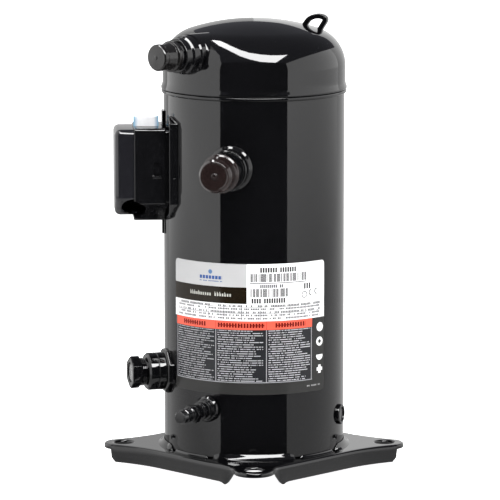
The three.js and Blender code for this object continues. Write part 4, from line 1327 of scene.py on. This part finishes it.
def floor():
    """Pale paper level with the foot plate's lowest edge; it isn't seen in reflections."""
    mesh = bpy.data.meshes.new("floor")
    reach = 40
    z = -(FLANGE_DROP + TOOTH) * MM
    corners = [(-reach, -reach, z), (reach, -reach, z), (reach, reach, z), (-reach, reach, z)]
    mesh.from_pydata(corners, [], [(0, 1, 2, 3)])
    shader = Shader("floor_paper")
    tone = shader.mottle(6, 3, (0.78, 0.78, 0.78), (0.82, 0.82, 0.82))
    shader.link(tone, shader.surface.inputs["Emission Color"])
    mesh.materials.append(shader.done(Base_Color=tone, Roughness=0.9, Emission_Strength=1.3))
    thing = add_object("floor", mesh)
    thing.visible_glossy = False


def studio():
    """Pale floor and walls, and over the part a dark sheet with a bright softbox in it."""
    white = (1, 1, 1)
    floor()
    wall("right", 38, 130, white, 1.45, 1.8, 0.15, 0.8, 1.8)
    wall("left", 220, 322, white, 2.1, 2.3, 0.2, 0.85, 1.8)
    wall("rear_right", 130, 180, white, 0.9, 0.3, 0.0, 0.8, 1.2)
    wall("rear_left", 180, 220, white, 0.7)
    left, right, fore = -1.45, 1.405, -1.575
    ends = ((left, WALL_FOOT), (right, WALL_FOOT), (right, CEILING), (left, CEILING))
    card = [(x, fore, z) for x, z in ends]
    studio_mesh("card", card, [(0, 1, 2, 3)], glow("glow_card", (0.9, 0.95, 1), 0.03))
    dark = [(-0.45, -3.2), (-0.47, -1.4), (-0.53, -0.5), (-0.64, 0.08), (-0.81, 0.63), (-1.5, 1.62),
            (1.45, 1.62), (1.4, 0.7), (1.43, 0.13), (1.52, -0.45), (1.97, -2.76), (0.51, -1.45),
            (0.2, -2.7)]
    overhead("ceiling", dark, CEILING, (0.92, 0.93, 1.05), 0.16)
    softbox = [(-0.44, -0.4), (-0.47, 0.03), (-0.41, 0.44), (-0.32, 0.82), (-0.13, 1.16), (0.21, 1.5),
               (0.62, 1.6), (0.86, 1.6), (0.74, 0.58), (0.55, 0.7), (0.36, 0.75), (0.13, 0.72),
               (-0.09, 0.6), (-0.23, 0.39), (-0.31, 0.11), (-0.36, -0.26)]
    overhead("softbox", softbox, CEILING - 0.01, white, 22)

    world = bpy.data.worlds.new("studio")
    world.use_nodes = True
    tree = world.node_tree
    background = tree.nodes["Background"]
    path = tree.nodes.new("ShaderNodeLightPath")
    seen = Field(tree, path.outputs["Is Camera Ray"]).math("MULTIPLY_ADD", 0.3, 0.8)
    tree.links.new(seen.socket, background.inputs["Strength"])
    background.inputs["Color"].default_value = (1, 1, 1, 1)
    bpy.context.scene.world = world
    bpy.context.scene.view_settings.view_transform = "Standard"


def camera():
    """A long lens from the front corner, a little above the middle."""
    elevation = math.radians(8.85)
    distance = 3.825
    aim = Vector((-0.0029, -0.0029, 0.2037))
    x, y = polar(math.cos(elevation), CAMERA_AT)
    towards = Vector((x, y, math.sin(elevation)))
    thing = add_object("camera", bpy.data.cameras.new("camera"))
    thing.location = aim + towards * distance
    thing.rotation_euler = (-towards).to_track_quat("-Z", "Y").to_euler()
    thing.data.sensor_width = 36
    thing.data.lens = 268.5
    bpy.context.scene.camera = thing


# ---------------------------- build
shell_tube()
top_cap()
dividing_plate()
bottom_cap()
base_plate()
lift_eye()
service_boss()
suction_fitting()
discharge_fitting()
sight_glass()
oil_valve()
terminal_box_base()
terminal_box_cover()
box_strap()
name_label()
box_label()
inside_finishes()
studio()
camera()
